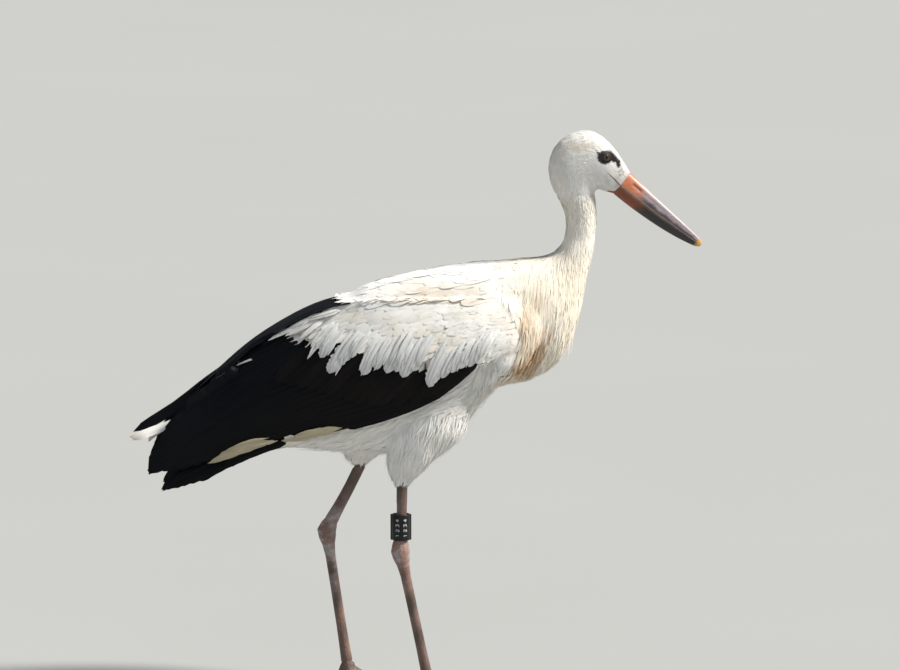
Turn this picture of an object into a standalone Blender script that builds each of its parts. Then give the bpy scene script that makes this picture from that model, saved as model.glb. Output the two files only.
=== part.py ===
"""White stork, a young bird in mid-stride, life size. It faces +X, its left side is +Y and the floor is Z = 0.

All lengths below are in millimetres; the meshes are in metres.
"""

import math

import bmesh
import bpy
import numpy as np

MM = 0.001
GAP = 0.3                  # clearance between neighbouring solids
BODY_SIDES = 20            # points round the trunk, neck and head
LEFT, RIGHT = 1.0, -1.0

# Body: top point x, z, bottom point x, z, half width, and how far the widest level lies above the middle.
TRUNK = [
    (-315, 397, -315, 348, 16, 0.0), (-260, 445, -260, 351, 34, 0.0), (-192, 512, -196, 365, 54, 0.05),
    (-136, 573, -147, 362, 68, 0.08), (-81, 615, -96, 356, 78, 0.08), (-16, 635, -39, 356, 83, 0.08),
    (51, 648, 21, 364, 83, 0.06), (108, 654, 75, 401, 78, 0.08), (153, 657, 123, 459, 68, 0.14),
    (188, 660, 168, 468, 57, 0.20), (204, 665, 216, 497, 47, 0.18), (213, 673, 243, 551, 38, 0.10),
]
NECK_LOWER = [(219, 682, 258, 616, 30, 0.04), (222, 695, 268, 662, 24.5, 0.0)]
NECK_UPPER = [(223, 712, 272, 707, 22, 0.0), (218, 732, 271, 733, 22, 0.0), (206, 754, 269, 754, 23.5, 0.0)]
HEAD = [
    (197, 785, 272, 760, 25.5, 0.02), (204, 819, 274, 759, 27, 0.04), (231, 844, 276, 757, 27.5, 0.05),
    (264, 847, 280, 756, 26, 0.04), (291, 827, 285, 754, 22, 0.0), (308, 804, 290, 753, 17.5, 0.0),
    (321, 783, 296, 751, 13, 0.0),
]

# Bill: base centre, droop below the horizontal and length; profiles are u along, v across the axis.
BILL_BASE = (308.5, 767.0)
BILL_DROOP = math.radians(37.8)
BILL_LENGTH = 150.0
BILL_U = (0.0, 0.12, 0.3, 0.5, 0.7, 0.86, 0.96, 1.0)
CULMEN = (19.8, 18.0, 15.4, 12.6, 9.8, 7.2, 5.0, 3.2)
TOMIUM = (-3.8, -4.0, -4.0, -3.6, -2.8, -1.9, -1.0, -0.5)
GONYS = (-20.2, -20.6, -20.2, -18.6, -15.4, -11.2, -7.4, -5.0)
BILL_HALF_WIDTH = (12.6, 11.4, 9.4, 7.6, 5.8, 4.2, 2.9, 1.9)
BILL_PARTING = 0.8

EYE = (283.0, 807.5)       # x, z of the eye's centre
EYE_OUT = 16.0             # how far out the centre sits
EYE_RADIUS = 8.5

# Folded wing: top rail and bottom rail as x, z, distance out, then outward bulge and thickness.
WING = [
    (154, 560, 74, 154, 548, 75, 1, 11), (142, 597, 67, 142, 524, 82, 6, 16),
    (96, 605, 70, 99, 503, 88, 14, 24), (36, 604, 70, 36, 460, 92, 15, 28),
    (-24, 603, 65, -24, 431, 92, 16, 30), (-84, 600, 53, -92, 411, 87, 16, 29),
    (-166, 571, 32, -166, 397, 77, 16, 26), (-249, 520, 16, -242, 385, 66, 14, 18),
    (-312, 458, 22, -297, 358, 56, 10, 13), (-362, 417, 34, -344, 340, 49, 6, 9),
    (-387, 388, 37, -375, 335, 45, 4, 7), (-405, 339, 39, -404, 330, 41, 1, 5),
]
WING_TOP_EDGE, WING_LOW_EDGE = 9.0, 4.0
FAR_WING_LIFT = 9.0        # the left wing's rear rides a little higher
# Where the white coverts end over the black secondaries, x and z.
COVERT_EDGE = [
    (135, 470), (105, 480), (87, 510), (51, 494), (16, 476), (-24, 489), (-80, 492), (-122, 495),
    (-147, 523), (-180, 541), (-225, 551), (-264, 541), (-300, 520),
]
PRIMARIES = [
    (58, 491, 80, 54, 472, 82, 0, 5), (-24, 469, 79, -27, 433, 82, 2, 7), (-114, 437, 71, -118, 404, 74, 2, 8),
    (-196, 405, 60, -200, 379, 64, 2, 8), (-242, 382, 53, -242, 370, 56, 1, 7),
    (-282, 359, 46, -282, 348, 50, 1, 6.5), (-316, 352, 40, -314, 328, 46, 1, 6.5),
    (-346, 346, 37, -342, 318, 43, 1, 6), (-366, 335, 35, -364, 310, 40, 1, 5),
    (-382, 309, 34, -384, 305, 36, 0.5, 3.5),
]

# Tail: x, z, half width, half thickness.
TAIL = [
    (-215, 455, 22, 10), (-262, 440, 24, 9.5), (-310, 424, 25, 8), (-355, 409, 26, 6), (-395, 395, 26.5, 4),
    (-418, 386, 24, 2.8), (-430, 381, 17, 1.8),
]
TAIL_ARCH = 5.0

# Thighs: front point x, z, back point x, z, half width.
THIGH_RIGHT_Y = -44.0
THIGH_RIGHT = [
    (88, 448, -32, 453, 30), (78, 397, -45, 397, 33), (54, 359, -48, 362, 28), (18, 338, -45, 339, 19),
    (-3, 321, -39, 323, 12.5), (-10, 308, -32, 308, 9.5),
]
THIGH_LEFT_Y = 42.0
THIGH_LEFT = [
    (6, 433, -106, 426, 28), (-21, 385, -117, 379, 30), (-46, 355, -112, 350, 22), (-66, 340, -102, 338, 13.5),
    (-75, 331, -95, 330, 10.2),
]

# Bare legs: x, y, z, half depth fore and aft, half width.
SHANK_RIGHT = [(-21, -44, 312, 8.2, 7.6), (-21.2, -44, 280, 7.6, 7.0), (-22.2, -45, 252, 8, 7.4),
               (-23, -45, 236, 9.4, 8.6)]
HOCK_RIGHT = (-23.5, -45.0, 217.0)
FOOT_RIGHT = (20.0, -45.0, 11.0)
SHANK_LEFT = [(-82.5, 42, 338, 8.4, 7.6), (-100, 42.6, 302, 8.2, 7.2), (-117, 43.4, 270, 8.8, 7.8),
              (-128, 43.8, 250, 10.2, 8.8)]
HOCK_LEFT = (-135.5, 44.0, 234.0)
FOOT_LEFT = (-104.0, 46.0, 26.0)
# Along the tarsus from the hock: share of the length, half depth, half width.
TARSUS = [(-0.085, 9.6, 8.8), (-0.045, 12.4, 10.2), (0.0, 14.2, 11.2), (0.045, 13.0, 10.4), (0.10, 9.6, 8.0),
          (0.18, 7.6, 6.3), (0.40, 7.2, 6.0), (0.70, 7.3, 6.2), (0.88, 8.0, 7.4), (0.96, 8.8, 8.6)]

# Feet: heading of each toe from straight ahead (outward positive), length and root radius.
TOES = {"inner": (-34.0, 55.0, 5.2), "middle": (2.0, 78.0, 5.6), "outer": (37.0, 62.0, 5.3),
        "hind": (176.0, 30.0, 4.4)}
CLAW_LENGTH = 10.0
FLAT_DEPTH = 0.9           # how much the floor flattens each toe

RING_CENTRE = (-22.6, -44.8, 254.0)
RING_INNER, RING_OUTER, RING_HEIGHT = 11.4, 14.0, 39.0


def start_clean():
    for old in list(bpy.data.objects):
        bpy.data.objects.remove(old, do_unlink=True)
    bird = bpy.data.collections.new("white_stork")
    bpy.context.scene.collection.children.link(bird)
    return bird


BIRD = start_clean()


def material(name, colour, roughness, sheen=0.0):
    made = bpy.data.materials.new(name)
    made.use_nodes = True
    shader = made.node_tree.nodes["Principled BSDF"]
    shader.inputs["Base Color"].default_value = (*colour, 1.0)
    shader.inputs["Roughness"].default_value = roughness
    shader.inputs["Sheen Weight"].default_value = sheen
    made.diffuse_color = (*colour, 1.0)
    return made


WHITE = material("white_plumage", (0.86, 0.82, 0.74), 0.8, 0.3)
CREAM = material("cream_breast", (0.80, 0.68, 0.50), 0.85, 0.3)
BLACK = material("black_flight_feathers", (0.012, 0.013, 0.018), 0.42, 0.1)
LEG = material("leg_skin", (0.36, 0.22, 0.18), 0.6)
UPPER_BILL = material("upper_bill_horn", (0.22, 0.13, 0.12), 0.4)
LOWER_BILL = material("lower_bill_horn", (0.20, 0.06, 0.035), 0.4)
IRIS = material("dark_brown_eye", (0.03, 0.016, 0.008), 0.08)
CLAW = material("dark_claw", (0.05, 0.04, 0.035), 0.45)
PLASTIC = material("black_ring_plastic", (0.015, 0.015, 0.016), 0.4)


def smooth(rows, steps):
    """A curve through every row, with `steps` rows for each interval, as centripetal Catmull-Rom."""
    rows = np.array(rows, float)
    span = np.sqrt(np.linalg.norm(np.diff(rows, axis=0), axis=1))
    knot = np.concatenate([[0.0], np.cumsum(span)])
    slope = np.gradient(rows, knot, axis=0)
    made = []
    for i in range(len(rows) - 1):
        width = knot[i + 1] - knot[i]
        for s in np.arange(steps) / steps:
            made.append(
                (2 * s**3 - 3 * s**2 + 1) * rows[i] + (s**3 - 2 * s**2 + s) * width * slope[i]
                + (3 * s**2 - 2 * s**3) * rows[i + 1] + (s**3 - s**2) * width * slope[i + 1]
            )
    return np.array(made + [rows[-1]])


def solid(name, points, faces, look, shade=True):
    mesh = bpy.data.meshes.new(name)
    mesh.from_pydata([tuple(p) for p in np.asarray(points) * MM], [], faces)
    body = bmesh.new()
    body.from_mesh(mesh)
    bmesh.ops.remove_doubles(body, verts=body.verts, dist=0.00001)
    bmesh.ops.recalc_face_normals(body, faces=body.faces)
    if body.calc_volume(signed=True) < 0:
        bmesh.ops.reverse_faces(body, faces=body.faces)
    body.to_mesh(mesh)
    body.free()
    made = bpy.data.objects.new(name, mesh)
    mesh.materials.append(look)
    for face in mesh.polygons:
        face.use_smooth = shade
    BIRD.objects.link(made)
    return made


def loft(name, rings, look):
    """Joins rings of equal count, one after another, and closes both ends."""
    count = len(rings[0])
    faces = []
    for r in range(len(rings) - 1):
        for i in range(count):
            j = (i + 1) % count
            faces.append((r * count + i, r * count + j, (r + 1) * count + j, (r + 1) * count + i))
    faces.append(tuple(range(count)))
    faces.append(tuple(range((len(rings) - 1) * count, len(rings) * count)))
    return solid(name, np.concatenate(rings), faces, look)


def body_ring(row, y=0.0, sides=BODY_SIDES, fullness=2.15):
    """An egg-shaped section whose plane holds the top and bottom points and runs across the bird."""
    top = np.array([row[0], y, row[1]])
    bottom = np.array([row[2], y, row[3]])
    egg = row[5] if len(row) > 5 else 0.0
    ring = []
    for a in np.arange(sides) * 2 * math.pi / sides:
        up = math.copysign(abs(math.cos(a)) ** (2 / fullness), math.cos(a))
        out = math.copysign(abs(math.sin(a)) ** (2 / fullness), math.sin(a))
        point = (top + bottom) / 2 + (top - bottom) / 2 * up
        point[1] += row[4] * out * (1 + egg * up)
        ring.append(point)
    return np.array(ring)


def shifted(ring, towards, distance):
    """The ring moved squarely to its own plane, to the side where `towards` lies."""
    normal = np.cross(ring[len(ring) // 4] - ring[0], ring[len(ring) // 2] - ring[0])
    normal /= np.linalg.norm(normal)
    if np.dot(towards.mean(axis=0) - ring.mean(axis=0), normal) < 0:
        normal = -normal
    return ring + normal * distance


def grown(source, distance):
    """A closed copy of a solid, larger all round by the distance, to cut its neighbours with."""
    mesh = source.data.copy()
    body = bmesh.new()
    body.from_mesh(mesh)
    body.normal_update()
    moves = [(v, v.normal * distance * MM * min(v.calc_shell_factor(), 2.5)) for v in body.verts]
    for vertex, move in moves:
        vertex.co += move
    body.to_mesh(mesh)
    body.free()
    made = bpy.data.objects.new(source.name + "_grown", mesh)
    BIRD.objects.link(made)
    return made


def cut(target, cutter, keep_cutter=False):
    """Takes the cutter out of the target for good."""
    step = target.modifiers.new("cut", "BOOLEAN")
    step.operation = "DIFFERENCE"
    step.solver = "EXACT"
    step.object = cutter
    graph = bpy.context.evaluated_depsgraph_get()
    made = bpy.data.meshes.new_from_object(target.evaluated_get(graph))
    target.modifiers.clear()
    old = target.data
    target.data = made
    bpy.data.meshes.remove(old)
    if not keep_cutter:
        bpy.data.objects.remove(cutter, do_unlink=True)


def largest_piece(target):
    """Drops the crumbs that a cut leaves beside the main solid."""
    body = bmesh.new()
    body.from_mesh(target.data)
    bmesh.ops.remove_doubles(body, verts=body.verts, dist=0.00002)
    left = set(body.verts)
    groups = []
    while left:
        group, front = set(), [left.pop()]
        while front:
            vertex = front.pop()
            group.add(vertex)
            near = [e.other_vert(vertex) for e in vertex.link_edges]
            front.extend(v for v in near if v in left)
            left.difference_update(near)
        groups.append(group)
    groups.sort(key=len)
    for group in groups[:-1]:
        bmesh.ops.delete(body, geom=list(group), context="VERTS")
    body.to_mesh(target.data)
    body.free()


def sawn(target, point, outward):
    """Cuts the solid off at a plane, drops what lies on its outward side and closes the flat."""
    body = bmesh.new()
    body.from_mesh(target.data)
    everything = list(body.verts) + list(body.edges) + list(body.faces)
    done = bmesh.ops.bisect_plane(body, geom=everything, plane_co=point, plane_no=outward, clear_outer=True)
    edges = [e for e in done["geom_cut"] if isinstance(e, bmesh.types.BMEdge)]
    if edges:
        bmesh.ops.holes_fill(body, edges=edges, sides=0)
        bmesh.ops.recalc_face_normals(body, faces=body.faces)
    body.to_mesh(target.data)
    body.free()


def flat_on_floor(target):
    sawn(target, (0, 0, 0), (0, 0, -1))


def build_body():
    rows = TRUNK + NECK_LOWER + NECK_UPPER + HEAD
    rings = [body_ring(row) for row in smooth(rows, 2)]
    ends = [0]
    for group in (TRUNK, NECK_LOWER, NECK_UPPER, HEAD):
        ends.append(ends[-1] + 2 * len(group))
    ends[4] = len(rings)
    made = {}
    for name, first, last, look in (
        ("trunk", ends[0], ends[1] - 1, WHITE), ("neck_lower", ends[1] - 2, ends[2] - 1, CREAM),
        ("neck_upper", ends[2] - 2, ends[3] - 1, WHITE), ("head", ends[3] - 2, ends[4], WHITE),
    ):
        piece = [ring.copy() for ring in rings[first:last]]
        if first:
            piece[0] = shifted(piece[0], piece[1], GAP)
        made[name] = loft(name, piece, look)
    return made


def build_bill():
    along = np.array([math.cos(BILL_DROOP), 0.0, -math.sin(BILL_DROOP)])
    across = np.array([math.sin(BILL_DROOP), 0.0, math.cos(BILL_DROOP)])
    base = np.array([BILL_BASE[0], 0.0, BILL_BASE[1]]) + along * (GAP + 0.5)
    table = smooth(np.column_stack([np.array(BILL_U) * 100, CULMEN, TOMIUM, GONYS, BILL_HALF_WIDTH]), 2)
    upper, lower = [], []
    for u, culmen, tomium, gonys, half in table:
        centre = base + along * u / 100 * BILL_LENGTH
        top, under = [], []
        for a in np.linspace(0, math.pi, 9):
            rise = math.sin(a) ** 0.85
            y = half * math.cos(a)
            top.append(centre + across * (tomium + (culmen - tomium) * rise) + np.array([0, y, 0]))
            under.append(centre + across * (tomium - BILL_PARTING + (gonys - tomium + BILL_PARTING) * rise)
                         + np.array([0, y * 0.94, 0]))
        upper.append(np.array(top))
        lower.append(np.array(under))
    loft("bill_upper", upper, UPPER_BILL)
    loft("bill_lower", lower[:-1] + [lower[-1] * 0.4 + lower[-2] * 0.6], LOWER_BILL)


def ball(name, centre, radius, look, sides=12, levels=7):
    rings = []
    for b in np.linspace(-math.pi / 2, math.pi / 2, levels + 2)[1:-1]:
        ring = [(centre[0] + radius * math.cos(b) * math.cos(a), centre[1] + radius * math.sin(b),
                 centre[2] + radius * math.cos(b) * math.sin(a)) for a in np.arange(sides) * 2 * math.pi / sides]
        rings.append(np.array(ring))
    return loft(name, rings, look)


def build_eyes(head):
    for name, side in (("eye_left", LEFT), ("eye_right", RIGHT)):
        eye = ball(name, (EYE[0], side * EYE_OUT, EYE[1]), EYE_RADIUS, IRIS)
        cut(head, grown(eye, GAP))


def blade_rings(rows, side, lift=0.0, steps=2, points=7):
    """Lens sections between two rails; bulge and thickness are square to the blade."""
    rows = smooth(rows, steps)
    top = rows[:, [0, 2, 1]].copy()
    bottom = rows[:, [3, 5, 4]].copy()
    rise = lift * np.clip((-60.0 - rows[:, 0]) / 220.0, 0.0, 1.0)
    top[:, 2] += rise
    bottom[:, 2] += rise * 0.6
    top[:, 1] *= side
    bottom[:, 1] *= side
    forward = np.gradient((top + bottom) / 2, axis=0)
    rings = []
    for t, b, f, bulge, thick in zip(top, bottom, forward, rows[:, 6], rows[:, 7]):
        out = np.cross(b - t, f)
        out *= side * np.sign(out[1]) / np.linalg.norm(out)
        ring = []
        for s in np.linspace(0, 1, points):
            ring.append(t + (b - t) * s + out * bulge * math.sin(math.pi * s) ** 0.9)
        for s in np.linspace(1, 0, points):
            edge = min(WING_TOP_EDGE + (WING_LOW_EDGE - WING_TOP_EDGE) * s, thick * 0.7)
            depth = edge + (thick - edge) * math.sin(math.pi * s) ** 0.7
            ring.append(t + (b - t) * s + out * (bulge * math.sin(math.pi * s) ** 0.9 - depth))
        rings.append(np.array(ring))
    return rings


def covert_mask(side, above, drop):
    """A block on one side of the bird, above or below the line where the white coverts end."""
    edge = smooth(COVERT_EDGE, 2) + np.array([0.0, drop])
    far = 760.0 if above else 250.0
    outline = [(x, z) for x, z in edge] + [(edge[-1][0] - 200, edge[-1][1])]
    outline += [(edge[-1][0] - 200, far), (edge[0][0] + 90, far), (edge[0][0] + 90, edge[0][1])]
    near = np.array([(x, side * 8.0, z) for x, z in outline])
    wide = np.array([(x, side * 150.0, z) for x, z in outline])
    return loft("mask", [near, wide], WHITE)


def build_wing(side, trunk, others):
    word = "left" if side > 0 else "right"
    lift = FAR_WING_LIFT if side > 0 else 0.0
    wing = blade_rings(WING, side, lift)
    made = []
    for part, look, above in (("coverts", WHITE, False), ("secondaries", BLACK, True)):
        piece = loft(f"wing_{word}_{part}", wing, look)
        cut(piece, covert_mask(side, above, -GAP if above else 0.0))
        cut(piece, grown(trunk, GAP))
        for other in others:
            cut(piece, grown(other, GAP))
        largest_piece(piece)
        made.append(piece)
    primaries = loft(f"wing_{word}_primaries", blade_rings(PRIMARIES, side, lift, 1, 4), BLACK)
    for other in [trunk, made[0], made[1], *others]:
        cut(primaries, grown(other, GAP))
    largest_piece(primaries)


def build_tail(trunk):
    rings = []
    for x, z, half, thin in smooth(TAIL, 2):
        ring = []
        for a in np.arange(12) * 2 * math.pi / 12:
            y = half * math.cos(a)
            ring.append((x, y, z + thin * math.sin(a) - TAIL_ARCH * (y / half) ** 2))
        rings.append(np.array(ring))
    tail = loft("tail", rings, WHITE)
    cut(tail, grown(trunk, GAP))
    largest_piece(tail)
    return tail


def build_thigh(name, rows, y, trunk):
    rings = [body_ring(row, y, sides=16, fullness=2.0) for row in smooth(rows, 2)]
    thigh = loft(name, rings, WHITE)
    cut(thigh, grown(trunk, GAP))
    largest_piece(thigh)
    return thigh


def limb_rings(rows, sides=12):
    """Ovals square to the path; rows hold x, y, z, half depth and half width."""
    rows = np.array(rows, float)
    along = np.gradient(rows[:, :3], axis=0)
    rings = []
    for row, a in zip(rows, along):
        a = a / np.linalg.norm(a)
        fore = np.cross([0.0, 1.0, 0.0], a)
        fore /= np.linalg.norm(fore)
        across = np.cross(a, fore)
        ring = [row[:3] + fore * row[3] * math.cos(t) + across * row[4] * math.sin(t)
                for t in np.arange(sides) * 2 * math.pi / sides]
        rings.append(np.array(ring))
    return rings


def build_leg(word, shank, hock, foot_at, thigh_end):
    bare = loft(f"shank_{word}", limb_rings(smooth(shank, 2)), LEG)
    front, back = np.array(thigh_end[0:2]), np.array(thigh_end[2:4])
    slope = (front - back) / np.linalg.norm(front - back)
    normal = np.array([-slope[1], 0.0, slope[0]])
    level = np.array([(front[0] + back[0]) / 2, 0.0, (front[1] + back[1]) / 2]) - normal * GAP
    sawn(bare, level * MM, normal)
    hock, foot_at = np.array(hock), np.array(foot_at)
    upper = np.array(shank[-1][:3]) - hock
    rows = []
    for share, depth, width in TARSUS:
        if share < 0:
            centre = hock + upper * (1 - GAP / np.linalg.norm(upper)) * share / TARSUS[0][0]
        else:
            centre = hock + (foot_at - hock) * share
        rows.append((*centre, depth, width))
    lower = loft(f"tarsus_{word}", limb_rings(rows), LEG)
    cut(lower, grown(bare, GAP))
    largest_piece(lower)
    return lower


def toe_path(root, heading, length, radius, slope):
    """Down from the foot joint to the floor, then along it to the tip."""
    ahead = np.array([math.cos(heading), math.sin(heading), 0.0])
    rows = []
    for s in np.linspace(0.0, 1.0, 8):
        thick = radius * (1 - 0.36 * s) + 0.55 * math.sin(math.pi * 3.0 * s) ** 2
        level = thick - FLAT_DEPTH
        height = level + max(root[2] - level, 0.0) * max(0.0, 1 - s / slope) ** 1.5
        rows.append((*(root[:2] + ahead[:2] * length * s), height, thick))
    return np.array(rows), ahead


def tube(name, rows, ahead, look, sides=8):
    across = np.array([-ahead[1], ahead[0], 0.0])
    along = np.gradient(rows[:, :3], axis=0)
    rings = []
    for row, a in zip(rows, along):
        up = np.cross(a / np.linalg.norm(a), across)
        rings.append(np.array([row[:3] + across * row[3] * math.cos(t) + up * row[3] * math.sin(t)
                               for t in (np.arange(sides) + 0.5) * 2 * math.pi / sides]))
    return loft(name, rings, look)


def foot_pad(word, side, root, pitch):
    """Joint of the toes with the short webs between their roots."""
    rings = []
    for height, core, web in ((-16, 8.5, 8), (-9.0, 9.5, 15), (-5.5, 10, 14), (0, 10.2, 5), (5, 9.6, 0), (8.5, 7.2, 0)):
        ring = []
        for a in np.arange(16) * 2 * math.pi / 16:
            spread = max(0.0, math.cos(a * 0.92 - 0.04)) ** 1.5 if abs(a) < math.pi else 0.0
            spread = max(spread, max(0.0, math.cos((2 * math.pi - a) * 0.92 - 0.04)) ** 1.5 if a > math.pi else 0.0)
            reach = core + web * spread
            x, y, z = reach * math.cos(a), reach * math.sin(a) * side, height
            ring.append((root[0] + x * math.cos(pitch) + z * math.sin(pitch), root[1] + y,
                         root[2] - x * math.sin(pitch) + z * math.cos(pitch)))
        rings.append(np.array(ring))
    pad = loft(f"foot_{word}", rings, LEG)
    flat_on_floor(pad)
    return pad


def build_foot(word, side, root, tarsus, slope, pitch):
    root = np.array(root)
    pad = foot_pad(word, side, root, pitch)
    cut(tarsus, grown(pad, GAP))
    largest_piece(tarsus)
    made = []
    for name, (turn, length, radius) in TOES.items():
        heading = math.radians(turn) * side
        reach = slope * (0.9 if name == "hind" else 1.0)
        rows, ahead = toe_path(root, heading, length, radius, reach)
        toe = tube(f"toe_{word}_{name}", rows, ahead, LEG)
        cut(toe, grown(pad, GAP * 2))
        for other in [tarsus, *made]:
            cut(toe, grown(other, GAP))
        largest_piece(toe)
        made.append(toe)
        flat_on_floor(toe)
        tip = rows[-1]
        claw = []
        for s in np.linspace(0, 1, 4):
            centre = tip[:3] + ahead * (GAP + CLAW_LENGTH * s)
            centre[2] = tip[2] + 0.5 + 1.2 * math.sin(math.pi * s * 0.8) - 0.6 * s
            claw.append((*centre, tip[3] * 0.84 * (1 - 0.72 * s)))
        nail = tube(f"claw_{word}_{name}", np.array(claw), ahead, CLAW, sides=6)
        cut(nail, grown(toe, GAP * 0.8))
        largest_piece(nail)


def build_ring():
    """Two-part leg ring with a clasp ridge front and back."""
    rings = []
    half = RING_HEIGHT / 2
    for radius, height, ridge in ((RING_INNER, -half, 0), (RING_OUTER - 0.6, -half, 1), (RING_OUTER, -half + 0.7, 1),
                                  (RING_OUTER, half - 0.7, 1), (RING_OUTER - 0.6, half, 1), (RING_INNER, half, 0)):
        ring = []
        for a in np.arange(24) * 2 * math.pi / 24:
            out = radius + 1.8 * ridge * (1.0 if abs(math.cos(a)) > 0.99 else 0.0)
            ring.append((RING_CENTRE[0] + out * math.cos(a), RING_CENTRE[1] + out * math.sin(a),
                         RING_CENTRE[2] + height))
        rings.append(np.array(ring))
    count = 24
    faces = []
    for r in range(6):
        for i in range(count):
            j = (i + 1) % count
            n = (r + 1) % 6
            faces.append((r * count + i, r * count + j, n * count + j, n * count + i))
    solid("leg_ring", np.concatenate(rings), faces, PLASTIC)


def centre_on_origin():
    """Puts the middle of the bird's box over the origin and its feet on the floor."""
    low, high = np.full(3, 1e9), np.full(3, -1e9)
    for piece in BIRD.objects:
        points = np.array([v.co for v in piece.data.vertices])
        low, high = np.minimum(low, points.min(axis=0)), np.maximum(high, points.max(axis=0))
    move = -np.array([(low[0] + high[0]) / 2, (low[1] + high[1]) / 2, low[2]])
    for piece in BIRD.objects:
        for vertex in piece.data.vertices:
            vertex.co = np.array(vertex.co) + move
    print("moved by", [round(float(m) / MM, 3) for m in move], "size", [round(float(s) / MM, 1) for s in high - low])


def build_stork():
    body = build_body()
    build_bill()
    build_eyes(body["head"])
    trunk = body["trunk"]
    tail = build_tail(trunk)
    thigh_right = build_thigh("thigh_right", THIGH_RIGHT, THIGH_RIGHT_Y, trunk)
    thigh_left = build_thigh("thigh_left", THIGH_LEFT, THIGH_LEFT_Y, trunk)
    build_wing(RIGHT, trunk, [thigh_right, tail])
    build_wing(LEFT, trunk, [thigh_left, tail])
    tarsus_right = build_leg("right", SHANK_RIGHT, HOCK_RIGHT, FOOT_RIGHT, THIGH_RIGHT[-1])
    tarsus_left = build_leg("left", SHANK_LEFT, HOCK_LEFT, FOOT_LEFT, THIGH_LEFT[-1])
    build_foot("right", RIGHT, FOOT_RIGHT, tarsus_right, 0.34, 0.0)
    build_foot("left", LEFT, FOOT_LEFT, tarsus_left, 0.62, math.radians(28))
    build_ring()
    centre_on_origin()


build_stork()
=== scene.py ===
import math

import bmesh
import bpy
import numpy as np
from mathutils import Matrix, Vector
from mathutils.bvhtree import BVHTree
from mathutils.kdtree import KDTree


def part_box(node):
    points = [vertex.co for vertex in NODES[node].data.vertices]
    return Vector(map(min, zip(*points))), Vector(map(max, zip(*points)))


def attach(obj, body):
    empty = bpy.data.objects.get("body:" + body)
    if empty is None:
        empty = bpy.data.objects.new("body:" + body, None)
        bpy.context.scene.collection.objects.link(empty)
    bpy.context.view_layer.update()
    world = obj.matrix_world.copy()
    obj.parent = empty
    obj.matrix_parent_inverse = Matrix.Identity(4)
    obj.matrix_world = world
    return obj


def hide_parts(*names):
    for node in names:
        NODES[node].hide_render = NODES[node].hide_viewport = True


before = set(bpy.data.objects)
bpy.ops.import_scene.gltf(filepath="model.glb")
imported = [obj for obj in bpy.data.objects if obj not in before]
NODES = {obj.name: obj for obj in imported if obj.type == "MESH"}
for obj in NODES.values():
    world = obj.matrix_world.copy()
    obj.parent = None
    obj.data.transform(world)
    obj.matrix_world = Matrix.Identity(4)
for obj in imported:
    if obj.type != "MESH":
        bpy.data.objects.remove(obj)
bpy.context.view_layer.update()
SIDES = {"right": -1.0, "left": 1.0}
MM = 0.001
TRUNK_END = -0.315                                                  # x of the trunk's rear end in the drawing
SHIFT = np.array([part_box("trunk")[0].x - TRUNK_END, 0.0, 0.0])      # from the drawing to the frame


def at(*rows):
    """Points of the drawing, in millimetres, as points of the frame."""
    return np.array(rows, float).reshape(-1, 3) * MM + SHIFT


def drawing(points):
    """Points of the frame as x, y and z of the drawing, in millimetres."""
    return ((points - SHIFT) / MM).T


def middle(node):
    low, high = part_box(node)
    return (np.array(low) + np.array(high)) / 2


def rng(seed):
    return np.random.default_rng(seed)


def unit(v):
    return v / np.maximum(np.linalg.norm(v, axis=-1, keepdims=True), 1e-12)


def ease(a, b, x):
    """0 at a and 1 at b, smoothly."""
    t = np.clip((x - a) / (b - a), 0.0, 1.0)
    return t * t * (3 - 2 * t)


def hermite(knots, rows, where):
    """Rows of numbers given at rising knots, read off smoothly at `where`."""
    slope = np.gradient(rows, knots, axis=0)
    i = np.clip(np.searchsorted(knots, where, "right") - 1, 0, len(rows) - 2)
    w = (knots[i + 1] - knots[i])[..., None]
    s = (where - knots[i])[..., None] / w
    return ((2 * s**3 - 3 * s**2 + 1) * rows[i] + (s**3 - 2 * s**2 + s) * w * slope[i]
            + (3 * s**2 - 2 * s**3) * rows[i + 1] + (s**3 - s**2) * w * slope[i + 1])


def run_along(lines):
    """Distance from the start of each line to each of its points."""
    steps = np.linalg.norm(np.diff(lines, axis=-2), axis=-1)
    return np.concatenate([0 * steps[..., :1], np.cumsum(steps, axis=-1)], -1)


def curve_through(rows, count):
    """`count` points evenly along a smooth line through the rows."""
    knots = np.concatenate([[0.0], np.cumsum(np.sqrt(np.linalg.norm(np.diff(rows, axis=0), axis=1)))])
    line = hermite(knots, rows, np.linspace(0, knots[-1], 400))
    run = run_along(line)
    want = np.linspace(0, run[-1], count)
    return np.column_stack([np.interp(want, run, line[:, k]) for k in range(line.shape[1])])


# ---------------------------------------------------------------- materials

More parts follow.
